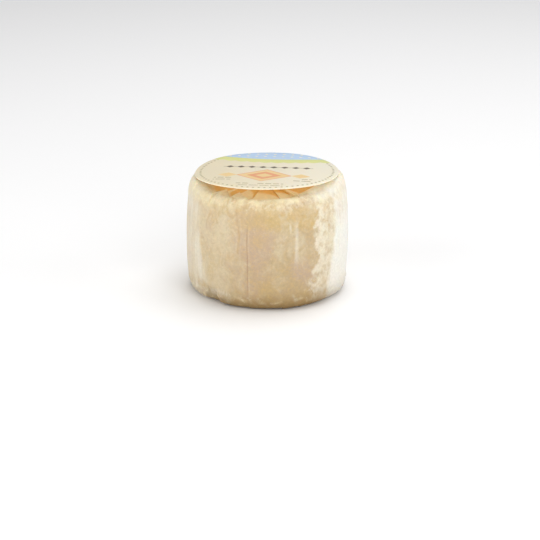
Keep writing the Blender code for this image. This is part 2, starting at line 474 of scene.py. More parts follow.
@dataclass(frozen=True)
class PrintedCard:
    """Coated label paper, offset printed.

    Flat inks on cream with a faint satin gloss. The sheet is thin enough to glow from behind.
    Lengths are in millimetres on the flat print, across to the right and along to the far side.
    """

    paper: str = "#E4D8BC"
    # The paper on the card's painted lit side, also the ink of the dots in the blue field.
    lit_paper_and_dots: str = "#EDE5D0"
    blue: str = "#B7CFEB"
    green: str = "#D9DA90"
    gold: str = "#ECCC94"
    salmon: str = "#E4A27A"
    olive: str = "#A79B6C"
    brown: str = "#6B5F4D"
    roughness: float = 0.42
    softness: float = 0.08
    shaded_side: float = -14.0
    lit_side: float = 16.0
    field_edge: float = 9.6
    field_bow: float = -0.009
    green_width: float = 3.6
    scallop: float = 3.8
    scallop_depth: float = 0.9
    dots_per_mm: float = 0.36
    dot_edge: Pair = (0.19, 0.15)
    dot_clearance: float = 0.8
    lozenge_slope: float = 0.8
    side_lozenge: float = 11.2
    lozenge_row: float = -6.2
    chain_row: float = 3.4
    chain_pitch: float = 3.4
    chain_reach: float = 13.9
    chain_slope: float = 0.9
    chain_link: float = 1.15
    chain_line: float = 0.13
    ring_radius: float = 20.4
    pearl_pitch: float = 1.7
    pearl_radius: float = 0.36
    stroke_blocks: tuple[StrokeBlock, ...] = (
        StrokeBlock((0.0, -16.0), (7.2, 2.0)),
        StrokeBlock((-12.2, -10.7), (2.7, 1.9)),
        StrokeBlock((12.4, -10.7), (2.8, 1.9)),
    )
    stroke_edge: Pair = (0.22, 0.3)
    past_print: float = 100.0

    def material(self) -> bpy.types.Material:
        """Builds the printed face's material.

        Returns:
            The material, which reads the mesh's print_place attribute, in millimetres.
        """
        looks = {
            "Roughness": self.roughness,
            "Specular IOR Level": 0.4,
            "Subsurface Weight": 0.35,
            "Subsurface Radius": (1.0, 0.75, 0.5),
            "Subsurface Scale": 1.0 * MM,
        }
        material, shader = new_material("offset_printed_paper", looks)
        tree = material.node_tree
        place = add_node(tree, "ShaderNodeAttribute", {"attribute_name": "print_place"}).outputs["Vector"]
        values = self._patterns(tree, place)
        for name, operation, *terms in self._sums():
            inputs = {number: values.get(term, term) for number, term in enumerate(terms)}
            values[name] = add_node(tree, "ShaderNodeMath", {"operation": operation}, inputs)
        colour = linear(self.paper)
        for ink, name, gone, full in self._inks():
            edge = {"Value": values[name], "From Min": gone, "From Max": full}
            layers = {0: add_node(tree, "ShaderNodeMapRange", {}, edge), 6: colour, 7: linear(ink)}
            colour = add_node(tree, "ShaderNodeMix", {"data_type": "RGBA"}, layers).outputs[2]
        tree.links.new(colour, shader.inputs["Base Color"])
        grain = add_node(tree, "ShaderNodeTexNoise", {}, {"Vector": place, "Scale": 2.2, "Detail": 3.0})
        relief = {"Strength": 0.15, "Distance": 0.02 * MM, "Height": grain}
        tree.links.new(add_node(tree, "ShaderNodeBump", {}, relief).outputs[0], shader.inputs["Normal"])
        return material

    def _patterns(self, tree: bpy.types.NodeTree, place: bpy.types.NodeSocket) -> dict[str | float, Any]:
        """Adds the patterns that the sums start from.

        Args:
            tree: The material's nodes.
            place: The print's coordinates.

        Returns:
            The print's two coordinates, the nearest dot's place and distance, and the rows of strokes.
        """
        dots = {"Vector": place, "Scale": self.dots_per_mm, "Randomness": 0.0}
        cells = add_node(tree, "ShaderNodeTexVoronoi", {"feature": "F1"}, dots)
        stretch = {"Vector": place, "Scale": (3.0, 1.0, 1.0)}
        strokes = {
            "Vector": add_node(tree, "ShaderNodeMapping", {}, stretch),
            "Color1": (0.0, 0.0, 0.0, 1.0),
            "Color2": (1.0, 1.0, 1.0, 1.0),
            "Mortar": (0.0, 0.0, 0.0, 1.0),
            "Scale": 1.0,
            "Mortar Size": 0.8,
            "Mortar Smooth": 0.05,
            "Brick Width": 7.0,
            "Row Height": 2.1,
        }
        uneven = {"offset": 0.37, "squash": 1.4, "squash_frequency": 3}
        print_axes = add_node(tree, "ShaderNodeSeparateXYZ", {}, {0: place})
        dot_axes = add_node(tree, "ShaderNodeSeparateXYZ", {}, {0: cells.outputs["Position"]})
        return {
            "across": print_axes.outputs[0],
            "along": print_axes.outputs[1],
            "dot across": dot_axes.outputs[0],
            "dot along": dot_axes.outputs[1],
            "off dot": cells.outputs["Distance"],
            "rows": add_node(tree, "ShaderNodeTexBrick", uneven, strokes).outputs["Color"],
        }

    def _lozenges(self) -> tuple[Lozenge, ...]:
        """Lists the print's lozenges.

        Returns:
            The large ones in the middle, and the small plain one on either side of them.
        """
        rings = ((self.salmon, 6.9), (self.gold, 6.4), (self.salmon, 4.3), (self.gold, 2.2))
        small = ((self.gold, 2.4),)
        return (
            Lozenge((0.0, self.lozenge_row), rings),
            Lozenge((-self.side_lozenge, self.lozenge_row), small),
            Lozenge((self.side_lozenge, self.lozenge_row), small),
        )

    def _sums(self) -> list[tuple[str | float, ...]]:
        """Lists the sums that place the inks.

        Returns:
            For each its name, its operation and its terms, which are numbers or earlier names.
        """
        dots_from = self.field_edge + self.green_width + self.dot_clearance
        pearls = round(math.tau * self.ring_radius / self.pearl_pitch)
        sums = [
            # The bowed far field, with its scalloped near edge and the dots that lie wholly in it
            ("across squared", "MULTIPLY", "across", "across"),
            ("level", "MULTIPLY_ADD", "across squared", self.field_bow, "along"),
            ("turn", "MULTIPLY", "across", math.pi / self.scallop),
            ("wave", "SINE", "turn"),
            ("arch", "ABSOLUTE", "wave"),
            ("scalloped", "MULTIPLY_ADD", "arch", self.scallop_depth, "level"),
            ("dot across squared", "MULTIPLY", "dot across", "dot across"),
            ("dot level", "MULTIPLY_ADD", "dot across squared", self.field_bow, "dot along"),
            ("dot left out", "LESS_THAN", "dot level", dots_from),
            ("off kept dot", "ADD", "off dot", "dot left out"),
            # The ring of pearls
            ("along squared", "MULTIPLY", "along", "along"),
            ("radius squared", "ADD", "across squared", "along squared"),
            ("radius", "SQRT", "radius squared"),
            ("off ring", "SUBTRACT", "radius", self.ring_radius),
            ("azimuth", "ARCTAN2", "along", "across"),
            ("run", "MULTIPLY", "azimuth", pearls / math.tau),
            ("share of pitch", "FRACT", "run"),
            ("share beside pearl", "SUBTRACT", "share of pitch", 0.5),
            ("beside pearl", "MULTIPLY", "share beside pearl", self.pearl_pitch),
            ("off ring squared", "MULTIPLY", "off ring", "off ring"),
            ("off pearl squared", "MULTIPLY_ADD", "beside pearl", "beside pearl", "off ring squared"),
            ("off pearl", "SQRT", "off pearl squared"),
            # The chain of links on a line
            ("above chain", "SUBTRACT", "along", self.chain_row),
            ("off line", "ABSOLUTE", "above chain"),
            ("place in pitch", "WRAP", "across", self.chain_pitch, 0.0),
            ("right of link", "SUBTRACT", "place in pitch", 0.5 * self.chain_pitch),
            ("beside link", "ABSOLUTE", "right of link"),
            ("off link", "MULTIPLY_ADD", "beside link", self.chain_slope, "off line"),
            ("past link", "SUBTRACT", "off link", self.chain_link),
            ("past line", "SUBTRACT", "off line", self.chain_line),
            ("past both", "MINIMUM", "past link", "past line"),
            ("off middle", "ABSOLUTE", "across"),
            ("past end", "SUBTRACT", "off middle", self.chain_reach),
            ("past chain", "MAXIMUM", "past both", "past end"),
        ]
        for number, lozenge in enumerate(self._lozenges()):
            sums += self._off(lozenge.middle)
            sums.append((f"off lozenge {number}", "MULTIPLY_ADD", "beside", self.lozenge_slope, "before"))
        nearest = self.past_print
        for block in self.stroke_blocks:
            sums += self._off(block.middle)
            sums += [
                ("past side", "SUBTRACT", "beside", block.half[0]),
                ("past row", "SUBTRACT", "before", block.half[1]),
                ("past block", "MAXIMUM", "past side", "past row"),
                ("past blocks", "MINIMUM", nearest, "past block"),
            ]
            nearest = "past blocks"
        return sums + [
            ("in block", "LESS_THAN", "past blocks", 0.0),
            ("stroke", "MULTIPLY", "rows", "in block"),
        ]

    def _off(self, middle: Pair) -> list[tuple[str | float, ...]]:
        """Lists the sums that place a point from the middle of a figure.

        Args:
            middle: The middle, across and along the card.

        Returns:
            The sums; "beside" and "before" are how far off the point lies each way.
        """
        return [
            ("right of", "SUBTRACT", "across", middle[0]),
            ("beside", "ABSOLUTE", "right of"),
            ("behind", "SUBTRACT", "along", middle[1]),
            ("before", "ABSOLUTE", "behind"),
        ]

    def _inks(self) -> list[tuple[str, str, float, float]]:
        """Lists the painted light and the inks over the plain paper, lowest first.

        Returns:
            For each its colour, the sum it follows, and the values at which it is gone and full.
        """
        soft = self.softness
        blue_edge = self.field_edge + self.green_width
        inks = [
            # Painted light: the card lightens from its shaded side to its lit side.
            (self.lit_paper_and_dots, "across", self.shaded_side, self.lit_side),
            (self.olive, "off pearl", self.pearl_radius + soft, self.pearl_radius - soft),
            (self.green, "scalloped", self.field_edge - soft, self.field_edge + soft),
            (self.blue, "level", blue_edge - soft, blue_edge + soft),
            (self.lit_paper_and_dots, "off kept dot", *self.dot_edge),
        ]
        for number, lozenge in enumerate(self._lozenges()):
            inks += [(ink, f"off lozenge {number}", half + soft, half - soft) for ink, half in lozenge.rings]
        return inks + [
            (self.brown, "past chain", soft, -soft),
            (self.olive, "stroke", *self.stroke_edge),
        ]


@dataclass(frozen=True)
class BareCard:
    """The label's uncoated back and cut edge: matt, warm white, with a soft fibre grain."""

    colour: str = "#F6ECD6"
    fibre: str = "#E9DABB"
    fibre_size: float = 0.6
    roughness: float = 0.8

    def material(self) -> bpy.types.Material:
        """Builds the bare card's material.

        Returns:
            The material, which reads Object coordinates.
        """
        looks = {
            "Roughness": self.roughness,
            "Subsurface Weight": 0.6,
            "Subsurface Radius": (1.0, 0.75, 0.5),
            "Subsurface Scale": 1.0 * MM,
        }
        material, shader = new_material("uncoated_paper", looks)
        tree = material.node_tree
        place = add_node(tree, "ShaderNodeTexCoord").outputs["Object"]
        fibres = {"Vector": place, "Scale": per_mm(self.fibre_size), "Detail": 4.0}
        grain = add_node(tree, "ShaderNodeTexNoise", {}, fibres)
        layers = {0: grain, 6: linear(self.colour), 7: linear(self.fibre)}
        mixed = add_node(tree, "ShaderNodeMix", {"data_type": "RGBA"}, layers)
        tree.links.new(mixed.outputs[2], shader.inputs["Base Color"])
        relief = {"Strength": 0.2, "Distance": 0.03 * MM, "Height": grain}
        tree.links.new(add_node(tree, "ShaderNodeBump", {}, relief).outputs[0], shader.inputs["Normal"])
        return material


@dataclass(frozen=True)
class UprightLine:
    """A line that runs up the wall, such as a crease or the edge of a loose patch.

    Attributes:
        path: The height in millimetres and the azimuth in degrees of its points, from the lowest.
        width: How wide it is, in degrees.
        fade: Over how many millimetres it fades out at its ends.
    """

    path: tuple[Pair, ...]
    width: float = 0.8
    fade: float = 1.5

    def off(self, degrees: float, height: float) -> float:
        """Gives how many degrees to the right of the line a point lies."""
        heights, azimuths = zip(*self.path)
        return degrees - float(np.interp(height, heights, azimuths))

    def ends(self, height: float) -> float:
        """Gives 1 along the line and 0 past its two ends."""
        low, high = self.path[0][0], self.path[-1][0]
        return within(height, (low - self.fade, low + self.fade), (high - self.fade, high + self.fade))

    def ridge(self, degrees: float, height: float) -> float:
        """Gives 1 on the line, falling to 0 beside it."""
        return bell(self.off(degrees, height), 0.0, self.width) * self.ends(height)


@dataclass(frozen=True)
class Mark:
    """A soft oval spot on the wall.

    Attributes:
        height: The height of its middle, in millimetres.
        azimuth: The azimuth of its middle, in degrees.
        tall: Half its height, in millimetres.
        wide: Half its width, in degrees.
        slant: How many millimetres it rises for each degree to the right.
    """

    height: float
    azimuth: float
    tall: float
    wide: float
    slant: float = 0.0

    def share(self, degrees: float, height: float) -> float:
        """Gives 1 in the spot's middle, falling to 0 round it."""
        off = degrees - self.azimuth
        return bell(off, 0.0, self.wide) * bell(height - self.height, self.slant * off, self.tall)


@dataclass(frozen=True)
class Pleat:
    """One knife pleat of the wrap's top.

    Attributes:
        start: The azimuth of its folded edge, in degrees.
        high: How far below the dish it lies at its folded edge.
        low: How far below the dish it lies at its low end.
        inset: How far inside the lip the dish ends at its folded edge.
        reach: How far its low end reaches out over the lip.
    """

    start: float
    high: float
    low: float
    inset: float
    reach: float


@dataclass(frozen=True)
class Column:
    """One upright row of the wrap's points.

    Attributes:
        azimuth: Where it stands, in radians.
        end: The azimuth where its pleat ends, in degrees.
        share: How far across its pleat it stands, from the folded edge.
        drop: How far below the dish the pleat lies there.
        reach: How far the dish reaches out over the lip there.
        wall_fold: How far the fold sinks into the wall there.
    """

    azimuth: float
    end: float
    share: float
    drop: float
    reach: float
    wall_fold: float


@dataclass(frozen=True)
class FootBulge:
    """A place where the foot swells out.

    Attributes:
        azimuth: The azimuth of its middle, in degrees.
        spread: How many degrees off it has fallen to about a third.
        share: How strong it is beside the strongest.
    """

    azimuth: float
    spread: float
    share: float


@dataclass(frozen=True)
class Wander:
    """A value that wanders smoothly between -1 and 1 over the paper.

    Attributes:
        size: The size of its swells, in millimetres.
        shift: What sets it apart from the others.
        upright: How little heights count in it, which draws the swells out upright.
    """

    size: float
    shift: tuple[float, float, float] = (0.0, 0.0, 0.0)
    upright: float = 1.0

    def at(self, point: Vector) -> float:
        """Gives the value at a point."""
        drawn = Vector((point.x, point.y, self.upright * point.z))
        return noise.noise(drawn / (self.size * MM) + Vector(self.shift))


@dataclass(frozen=True)
class RadialRidges:
    """Ridges that run in towards the drum's axis, wandering a little.

    Attributes:
        turns: How closely they are set.
        narrow: How wide they are below the rim.
        wide: How wide they are at the rim.
        lean: How many degrees they lean for each millimetre of height.
        shift: How many millimetres of height set them apart from the others.
    """

    turns: float
    narrow: float
    wide: float
    lean: float = 0.0
    shift: float = 0.0

    def share(self, azimuth: float, height: float) -> float:
        """Gives how much of a ridge a point is on.

        Args:
            azimuth: The point's azimuth, in radians.
            height: Its height, in millimetres.

        Returns:
            1 on a ridge, falling to 0 between them.
        """
        turn = azimuth + math.radians(self.lean) * height
        shifted = height + self.shift
        place = Vector((self.turns * math.sin(turn), self.turns * math.cos(turn), shifted / 9.0))
        width = self.narrow + (self.wide - self.narrow) * smooth(shifted, 30.0, 34.8)
        return max(0.0, 1.0 - abs(noise.noise(place)) / width)


@dataclass(frozen=True)
class Spot:
    """A point of the wrap, with what its relief and its look depend on.

    Attributes:
        point: Where it lies on the folded paper, in metres.
        column: Its column of points.
        degrees: Its azimuth on the folded paper.
        height: Its height on the plain drum, in millimetres.
        into_dish: How many millimetres inside the lip it lies on the plain drum.
        folded_in: 1 where the pleat's folded edge lies far inside the lip, 0 where it lies at it.
        outside: 1 outside the dish, 0 in it.
        sway: A small wandering value that roughens edges.
        ragged: A finer one.
        far: A broad one that spreads the patches of the far side.
    """

    point: Vector
    column: Column
    degrees: float
    height: float
    into_dish: float
    folded_in: float
    outside: float
    sway: float
    ragged: float
    far: float


@dataclass(frozen=True)
class Features:
    """What shows at a spot, each from 0, beside it, to 1, on it.

    Attributes:
        loose: Smooth paper that hangs free of the cheese, and painted light on the rim under the label's
            right end.
        crumpled: Paper with white crumple veins.
        far_band: A loose band of the far side.
        rim_ridge: A ridge of the gathered rim.
        foot_fold: A fold of the margin turned under the foot.
        wall_crease: An upright crease of the wall.
        golden_fold: The golden fold line: a golden tint with painted crease shade.
        beside_fold: The pale, lit side of the golden fold line, with a painted highlight.
        hem: The low line of the margin turned under.
        foot_mark: A pale mark at the foot.
        fold_line: A long soft fold.
        lumps: The crumbly lumps of the rim, from -1, a dip, to 1; the dips get painted shade and the rises a
            painted highlight.
        crinkle: The crinkled paper at the foot's left, from -1 to 1.
    """

    loose: float
    crumpled: float
    far_band: float
    rim_ridge: float
    foot_fold: float
    wall_crease: float
    golden_fold: float
    beside_fold: float
    hem: float
    foot_mark: float
    fold_line: float
    lumps: float
    crinkle: float


@dataclass
class WrapSurface:
    """How the wrap's paper lies on the cheese: its small relief, its state and its painted light and shade,
    point by point.

    Heights are in millimetres and azimuths in degrees. A pair is where a change begins and where
    it is done, and a stretch has such a pair at its start and at its end.
    """

    lip_radius: float
    end_edge_azimuth: float
    seed: int
    left_edge: UprightLine = UprightLine(
        ((7.0, -47.0), (13.0, -50.5), (19.5, -54.5), (27.0, -56.0)), width=0.7, fade=2.5
    )
    patch_edge: UprightLine = UprightLine(
        ((4.0, 33.0), (10.5, 33.9), (19.9, 36.3), (29.5, 35.2), (34.0, 37.7))
    )
    right_edge: UprightLine = UprightLine(
        ((4.0, 48.0), (12.0, 50.7), (20.0, 54.0), (31.0, 56.0)), width=0.7, fade=2.0
    )
    end_edge: UprightLine = UprightLine(((5.5, -13.6), (26.0, -13.6)), width=0.5, fade=3.0)
    golden_fold: UprightLine = UprightLine(((18.0, -21.0), (24.3, -19.5), (30.4, -22.2)), width=0.7)
    creases: tuple[UprightLine, ...] = (
        UprightLine(((15.0, 20.0), (21.0, 20.8), (28.0, 20.6)), width=1.7, fade=4.0),
        UprightLine(((25.0, 16.3), (28.0, 15.9)), width=1.0),
        UprightLine(((14.0, 58.5), (24.0, 60.0)), width=0.9, fade=3.0),
        UprightLine(((1.5, 30.0), (4.0, 28.6)), width=1.0, fade=1.5),
    )
    far_edges: tuple[UprightLine, ...] = (
        UprightLine(((3.0, -168.0), (14.0, -165.5), (30.0, -166.5)), width=0.7, fade=2.5),
        UprightLine(((6.0, -131.0), (20.0, -128.5), (31.0, -130.0)), width=0.7, fade=2.5),
        UprightLine(((3.0, 121.0), (16.0, 123.0), (28.0, 122.0)), width=0.7, fade=2.5),
        UprightLine(((8.0, 149.0), (22.0, 151.5), (31.0, 150.5)), width=0.7, fade=2.5),
    )
    far_creases: int = 9
    far_creases_from: float = 88.0
    far_creases_spread: float = 210.0
    dry_marks: tuple[Mark, ...] = (
        Mark(22.3, 6.0, 1.3, 6.0, 0.05),
        Mark(24.7, -36.8, 2.2, 4.5),
        Mark(6.8, -43.0, 1.6, 5.0),
        Mark(19.5, 25.0, 4.5, 4.5),
        Mark(23.0, 12.5, 3.0, 4.0),
    )
    fatty_marks: tuple[Mark, ...] = (
        Mark(16.8, -24.7, 1.1, 5.5),
        Mark(22.8, -6.0, 2.4, 5.0),
        Mark(11.5, -43.5, 3.6, 3.2, -0.6),
        Mark(5.8, -20.0, 0.9, 9.0),
        Mark(8.0, 0.0, 2.6, 8.0),
        Mark(5.0, 30.0, 1.2, 6.0),
    )
    foot_marks: tuple[Mark, ...] = (
        Mark(3.6, -19.0, 0.7, 8.0, -0.12),
        Mark(2.9, -3.9, 0.6, 2.6),
        Mark(3.2, 7.6, 0.35, 3.5, 0.02),
        Mark(3.8, 24.0, 0.6, 3.2, 0.03),
    )
    mark_sway: float = 3.0
    sway: Wander = Wander(4.0, (1.0, 3.0, 8.0))
    ragged: Wander = Wander(1.6, (6.0, 1.0, 2.0))
    far: Wander = Wander(8.0, (4.0, 2.0, 6.0), 0.4)
    fold_lines: Wander = Wander(6.0, (7.0, 1.0, 4.0), 0.28)
    lumps: Wander = Wander(2.9, (2.0, 9.0, 5.0))
    crinkles: Wander = Wander(1.5, (3.0, 3.0, 7.0))
    hem_sway: Wander = Wander(6.25, upright=0.0)
    flute_size: float = 2.8
    crumple_size: float = 1.1
    rim_ridges: RadialRidges = RadialRidges(4.2, 0.07, 0.2)
    foot_folds: RadialRidges = RadialRidges(7.5, 0.22, 0.22, lean=2.2, shift=10.0)
    hem_height: float = 3.6
    top_height: float = 33.0
    full_drop: float = 0.9
    folded_in_reach: Pair = (0.8, 2.5)
    pale_folds_from: Pair = (-53.0, -45.0)
    pale_folds_to: Pair = (29.0, 36.0)
    left_pocket: Stretch = ((-46.0, -42.0), (-31.5, -29.5))
    foot_heights: Stretch = ((0.6, 1.6), (3.5, 6.5))
    left_foot: Stretch = ((-78.0, -62.0), (-34.0, -28.0))
    rim_heights: Pair = (29.5, 33.0)
    ridge_heights: Pair = (30.0, 33.0)
    hem_width: float = 0.55
    hem_from: Pair = (30.0, 45.0)
    beside_fold_off: float = 1.6
    # Where the rim has dried to cream, and where painted highlights lie on its crest and lip
    dried_heights: Pair = (27.5, 34.5)
    less_dried_middle: Pair = (-46.0, -30.0)
    less_dried_right: Pair = (30.0, 45.0)
    middle_rim: Stretch = ((-26.0, -16.0), (28.0, 42.0))
    crest_heights: Pair = (32.5, 34.5)
    lip_line: Pair = (-0.5, 0.4)
    lip_line_end: Pair = (70.0, 90.0)
    smooth_rim_right: Pair = (28.0, 40.0)
    # Where painted shade darkens it towards the foot
    low_shade_wall: Pair = (8.0, 30.0)
    low_shade_low_wall: Pair = (0.0, 11.0)
    low_shade_foot: Pair = (-0.5, 7.5)
    low_shade_sides: Pair = (42.0, 60.0)
    # Where it hangs loose
    band_step: Pair = (-0.6, 0.6)
    far_band_fade: Pair = (2.0, 17.0)
    left_band_from: Pair = (-80.0, -62.0)
    left_band_fade: Pair = (-140.0, -100.0)
    left_band_foot: Pair = (4.0, 8.0)
    left_band_softer: Pair = (18.0, 29.0)
    left_band_paler: Pair = (24.0, 30.0)
    strip_place: Pair = (-4.5, 5.0)
    strip_edge: Pair = (-0.7, 0.5)
    strip_top: Pair = (15.0, 24.0)
    right_band_to: Pair = (70.0, 95.0)
    right_band_edge: Pair = (-3.5, 3.0)
    right_band_fade: Pair = (112.0, 132.0)
    right_band_thinner: Pair = (20.0, 28.0)
    # Where painted light lies on the rim under the label's right end
    painted_flap_light: Pair = (33.0, 44.0)
    flap_end: Pair = (80.0, 100.0)
    flap_heights: Pair = (31.5, 34.5)
    # Where it has dried off the cheese
    dry_lean: float = 0.25
    middle_height: float = 17.0
    dry_left: Pair = (-46.0, -9.0)
    dry_right: Pair = (30.0, 42.0)
    golden_rim: Pair = (29.0, 33.0)
    golden_rim_end: Pair = (-32.0, -8.0)
    # Where fat has soaked it
    fatty_band: Stretch = ((24.5, 28.0), (31.5, 34.0))
    fatty_band_stronger: Pair = (-25.0, 15.0)
    fatty_rim: Pair = (29.5, 32.5)
    fatty_rim_end: Pair = (5.0, 38.0)
    fatty_patch: Pair = (5.0, 11.0)
    fatty_patch_end: Pair = (60.0, 75.0)
    fatty_foot: Pair = (3.0, 8.0)
    fatty_foot_end: Pair = (40.0, 60.0)
    # Where it is crumpled
    patch: Pair = (-5.0, 4.5)
    patch_fade: Pair = (5.0, 13.0)
    patch_end: Pair = (120.0, 135.0)
    crumpled_rim: Pair = (30.5, 33.5)
    crumpled_rim_more: Stretch = ((-22.0, -2.0), (120.0, 160.0))
    far_patches: Pair = (-0.1, 0.5)
    far_patches_from: Pair = (100.0, 130.0)
    crumpled_left_foot: Stretch = ((-85.0, -65.0), (-32.0, -24.0))
    crumpled_foot: Pair = (4.0, 6.5)

    def __post_init__(self) -> None:
        """Adds the far side's creases to those of the front."""
        self.creases += self._far_creases()

    def at(self, plain: Vector, point: Vector, column: Column) -> tuple[float, dict[PaperState, float]]:
        """Works out the paper's small relief and its state at a point.

        Args:
            plain: The point on the plain drum.
            point: The same point on the folded paper.
            column: Its column.

        Returns:
            How far the paper stands out, and the share of each state.
        """
        if plain.z <= 0.0:
            # The flat underside gets some painted shade and a pale loose share.
            return 0.0, {kind: 0.0 for kind in PaperState} | {PaperState.PAINTED_LOW_SHADE: 0.3, PaperState.LOOSE: 0.5}
        spot = self._spot(plain, point, column)
        shown = self._features(spot)
        off_base = smooth(spot.height, 0.2, 2.5)
        return self._relief(spot, shown) * MM * off_base, self._states(spot, shown)

    def _far_creases(self) -> tuple[UprightLine, ...]:
        """Draws the upright creases of the far side, spread by a seeded draw.

        Returns:
            The creases.
        """
        draw = random.Random(self.seed)
        made = []
        for number in range(self.far_creases):
            share = (number + draw.uniform(0.1, 0.9)) / self.far_creases
            azimuth = math.remainder(self.far_creases_from + self.far_creases_spread * share, 360.0)
            low = draw.uniform(5.0, 18.0)
            high = min(30.0, low + draw.uniform(6.0, 16.0))
            lean = draw.uniform(-1.5, 1.5)
            made.append(UprightLine(((low, azimuth), (high, azimuth + lean)), draw.uniform(0.6, 1.0)))
        return tuple(made)

    def _spot(self, plain: Vector, point: Vector, column: Column) -> Spot:
        """Works out what the relief and the look of a point depend on.

        Args:
            plain: The point on the plain drum.
            point: The same point on the folded paper.
            column: Its column.

        Returns:
            The spot.
        """
        height = plain.z / MM
        on_top = height > self.top_height
        radius = math.hypot(plain.x, plain.y) if on_top else 2.0 * self.lip_radius
        into_dish = (self.lip_radius - radius) / MM
        folded_in = smooth(-column.reach / MM, *self.folded_in_reach)
        return Spot(
            point=point,
            column=column,
            degrees=math.degrees(math.atan2(point.x, -point.y)),
            height=height,
            into_dish=into_dish,
            folded_in=folded_in,
            outside=1.0 - smooth(into_dish, -0.4 + 0.4 * folded_in, 0.4),
            sway=self.sway.at(point),
            ragged=self.ragged.at(point),
            far=self.far.at(point),
        )

    def _features(self, spot: Spot) -> Features:
        """Works out what shows at a spot.

        Args:
            spot: The spot.

        Returns:
            The share of each feature.
        """
        degrees, height = spot.degrees, spot.height
        azimuth = spot.column.azimuth
        near_foot = within(height, *self.foot_heights)
        far_band = self._far_band(degrees + 0.6 * spot.sway, height)
        hem_height = self.hem_height + 0.5 * self.hem_sway.at(spot.point)
        on_rim = smooth(height, *self.rim_heights) * spot.outside
        on_ridges = smooth(height, *self.ridge_heights) * spot.outside
        at_left_foot = near_foot * within(degrees, *self.left_foot)
        return Features(
            loose=max(self._loose_and_painted_light(spot), 0.42 * far_band) * spot.outside,
            crumpled=self._crumpled(spot) * spot.outside,
            far_band=far_band,
            rim_ridge=self.rim_ridges.share(azimuth, height) * on_ridges,
            foot_fold=self.foot_folds.share(azimuth, height) * near_foot,
            wall_crease=max(line.ridge(degrees, height) for line in self.creases),
            golden_fold=self.golden_fold.ridge(degrees, height),
            beside_fold=self.golden_fold.ridge(degrees + self.beside_fold_off, height),
            hem=bell(height, hem_height, self.hem_width) * smooth(abs(degrees), *self.hem_from),
            foot_mark=max(mark.share(degrees, height + 0.4 * spot.sway) for mark in self.foot_marks),
            fold_line=1.0 - min(1.0, 3.0 * abs(self.fold_lines.at(spot.point))),
            lumps=self.lumps.at(spot.point) * on_rim,
            crinkle=self.crinkles.at(spot.point) * at_left_foot,
        )

    def _relief(self, spot: Spot, shown: Features) -> float:
        """Gives how far the paper stands out at a spot.

        Args:
            spot: The spot.
            shown: What shows there.

        Returns:
            The relief, in millimetres.
        """
        point = spot.point
        long_way = Vector((point.x, point.y, self.fold_lines.upright * point.z))
        flutes = noise.fractal(long_way / (self.flute_size * MM), 1.0, 2.0, 3)
        crumples = noise.fractal(point / (self.crumple_size * MM), 1.0, 2.0, 2)
        off_cheese = max(shown.loose, shown.crumpled)
        return (
            0.05 * flutes
            + (0.025 + 0.08 * off_cheese) * shown.fold_line**2
            + (0.02 + 0.035 * shown.crumpled) * crumples
            + 0.08 * shown.rim_ridge
            + 0.12 * shown.lumps
            + 0.15 * shown.foot_fold
            + 0.4 * shown.crinkle
            + 0.08 * shown.wall_crease
            + 0.08 * shown.beside_fold
            + 0.09 * shown.hem
            + 0.06 * shown.foot_mark
            + 0.1 * max(self._stands_off(spot), shown.far_band)
        )

    def _states(self, spot: Spot, shown: Features) -> dict[PaperState, float]:
        """Gives the share of each state at a spot.

        Args:
            spot: The spot.
            shown: What shows there.

        Returns:
            A share for every state.
        """
        swayed = (spot.degrees + self.mark_sway * spot.sway, spot.height + spot.sway)
        dry_mark = max(mark.share(*swayed) for mark in self.dry_marks)
        fatty_mark = max(mark.share(*swayed) for mark in self.fatty_marks)
        # Painted shade in the dips between the rim's lumps, less at the smooth right of the rim.
        painted_dip_shade = max(0.0, -shown.lumps) * (1.0 - 0.8 * smooth(spot.degrees, *self.smooth_rim_right))
        dry = self._dry(spot) + 0.27 * dry_mark - 0.2 * fatty_mark - 0.4 * painted_dip_shade
        # The fat's golden tint, with painted shade along the golden fold and in the lumps' dips.
        fat_and_painted_shade = max(self._fatty(spot), 0.5 * fatty_mark, 0.8 * shown.golden_fold, 1.2 * painted_dip_shade)
        # The end edge's dark line is painted shade under the overlapping paper.
        on_end = spot.column.share == 1.0 and abs(spot.column.end - self.end_edge_azimuth) < 0.01
        end_line = self.end_edge.ends(spot.height) if on_end else 0.0
        return {
            # Loose paper, with painted highlights along the wall's creases.
            PaperState.LOOSE: max(shown.loose, 0.45 * shown.wall_crease * spot.outside),
            PaperState.CRUMPLED: max(shown.crumpled, 0.6 * shown.foot_fold),
            PaperState.DRY: dry * spot.outside,
            PaperState.FAT_AND_PAINTED_SHADE: fat_and_painted_shade * spot.outside,
            PaperState.PAINTED_FOLD_GLOW: self._painted_fold_glow(spot),
            PaperState.SEAM: max(end_line, 0.4 * shown.golden_fold),
            PaperState.CREASE: self._cream_and_painted_highlight(spot, shown) * spot.outside,
            PaperState.PAINTED_LOW_SHADE: self._painted_low_shade(spot),
        }

    def _painted_fold_glow(self, spot: Spot) -> float:
        """Gives the painted glow and shade in the folds under the label: warm at their rim, deep orange
        further in and towards each pleat's low end.

        Args:
            spot: The spot.

        Returns:
            A share from 0 to 1.
        """
        degrees, into_dish = spot.degrees, spot.into_dish
        # Painted shade deepens towards each pleat's low end, where the next fold overhangs it.
        low_end = spot.column.share**4 * min(1.0, spot.column.drop / (self.full_drop * MM))
        pale = 0.12 + 0.88 * smooth(degrees, *self.pale_folds_from)
        pale *= (1.0 - smooth(degrees, *self.pale_folds_to)) * (1.0 - 0.8 * low_end)
        pale *= 1.0 - 0.95 * within(degrees, *self.left_pocket)
        spill = 0.6 - 0.4 * smooth(degrees, 30.0, 40.0) - 0.55 * spot.folded_in
        warm = smooth(into_dish, -max(0.05, spill), 0.3)
        deep = smooth(into_dish, 0.2 + 6.2 * pale, 2.6 + 8.0 * pale)
        return 0.22 * warm + 0.78 * deep

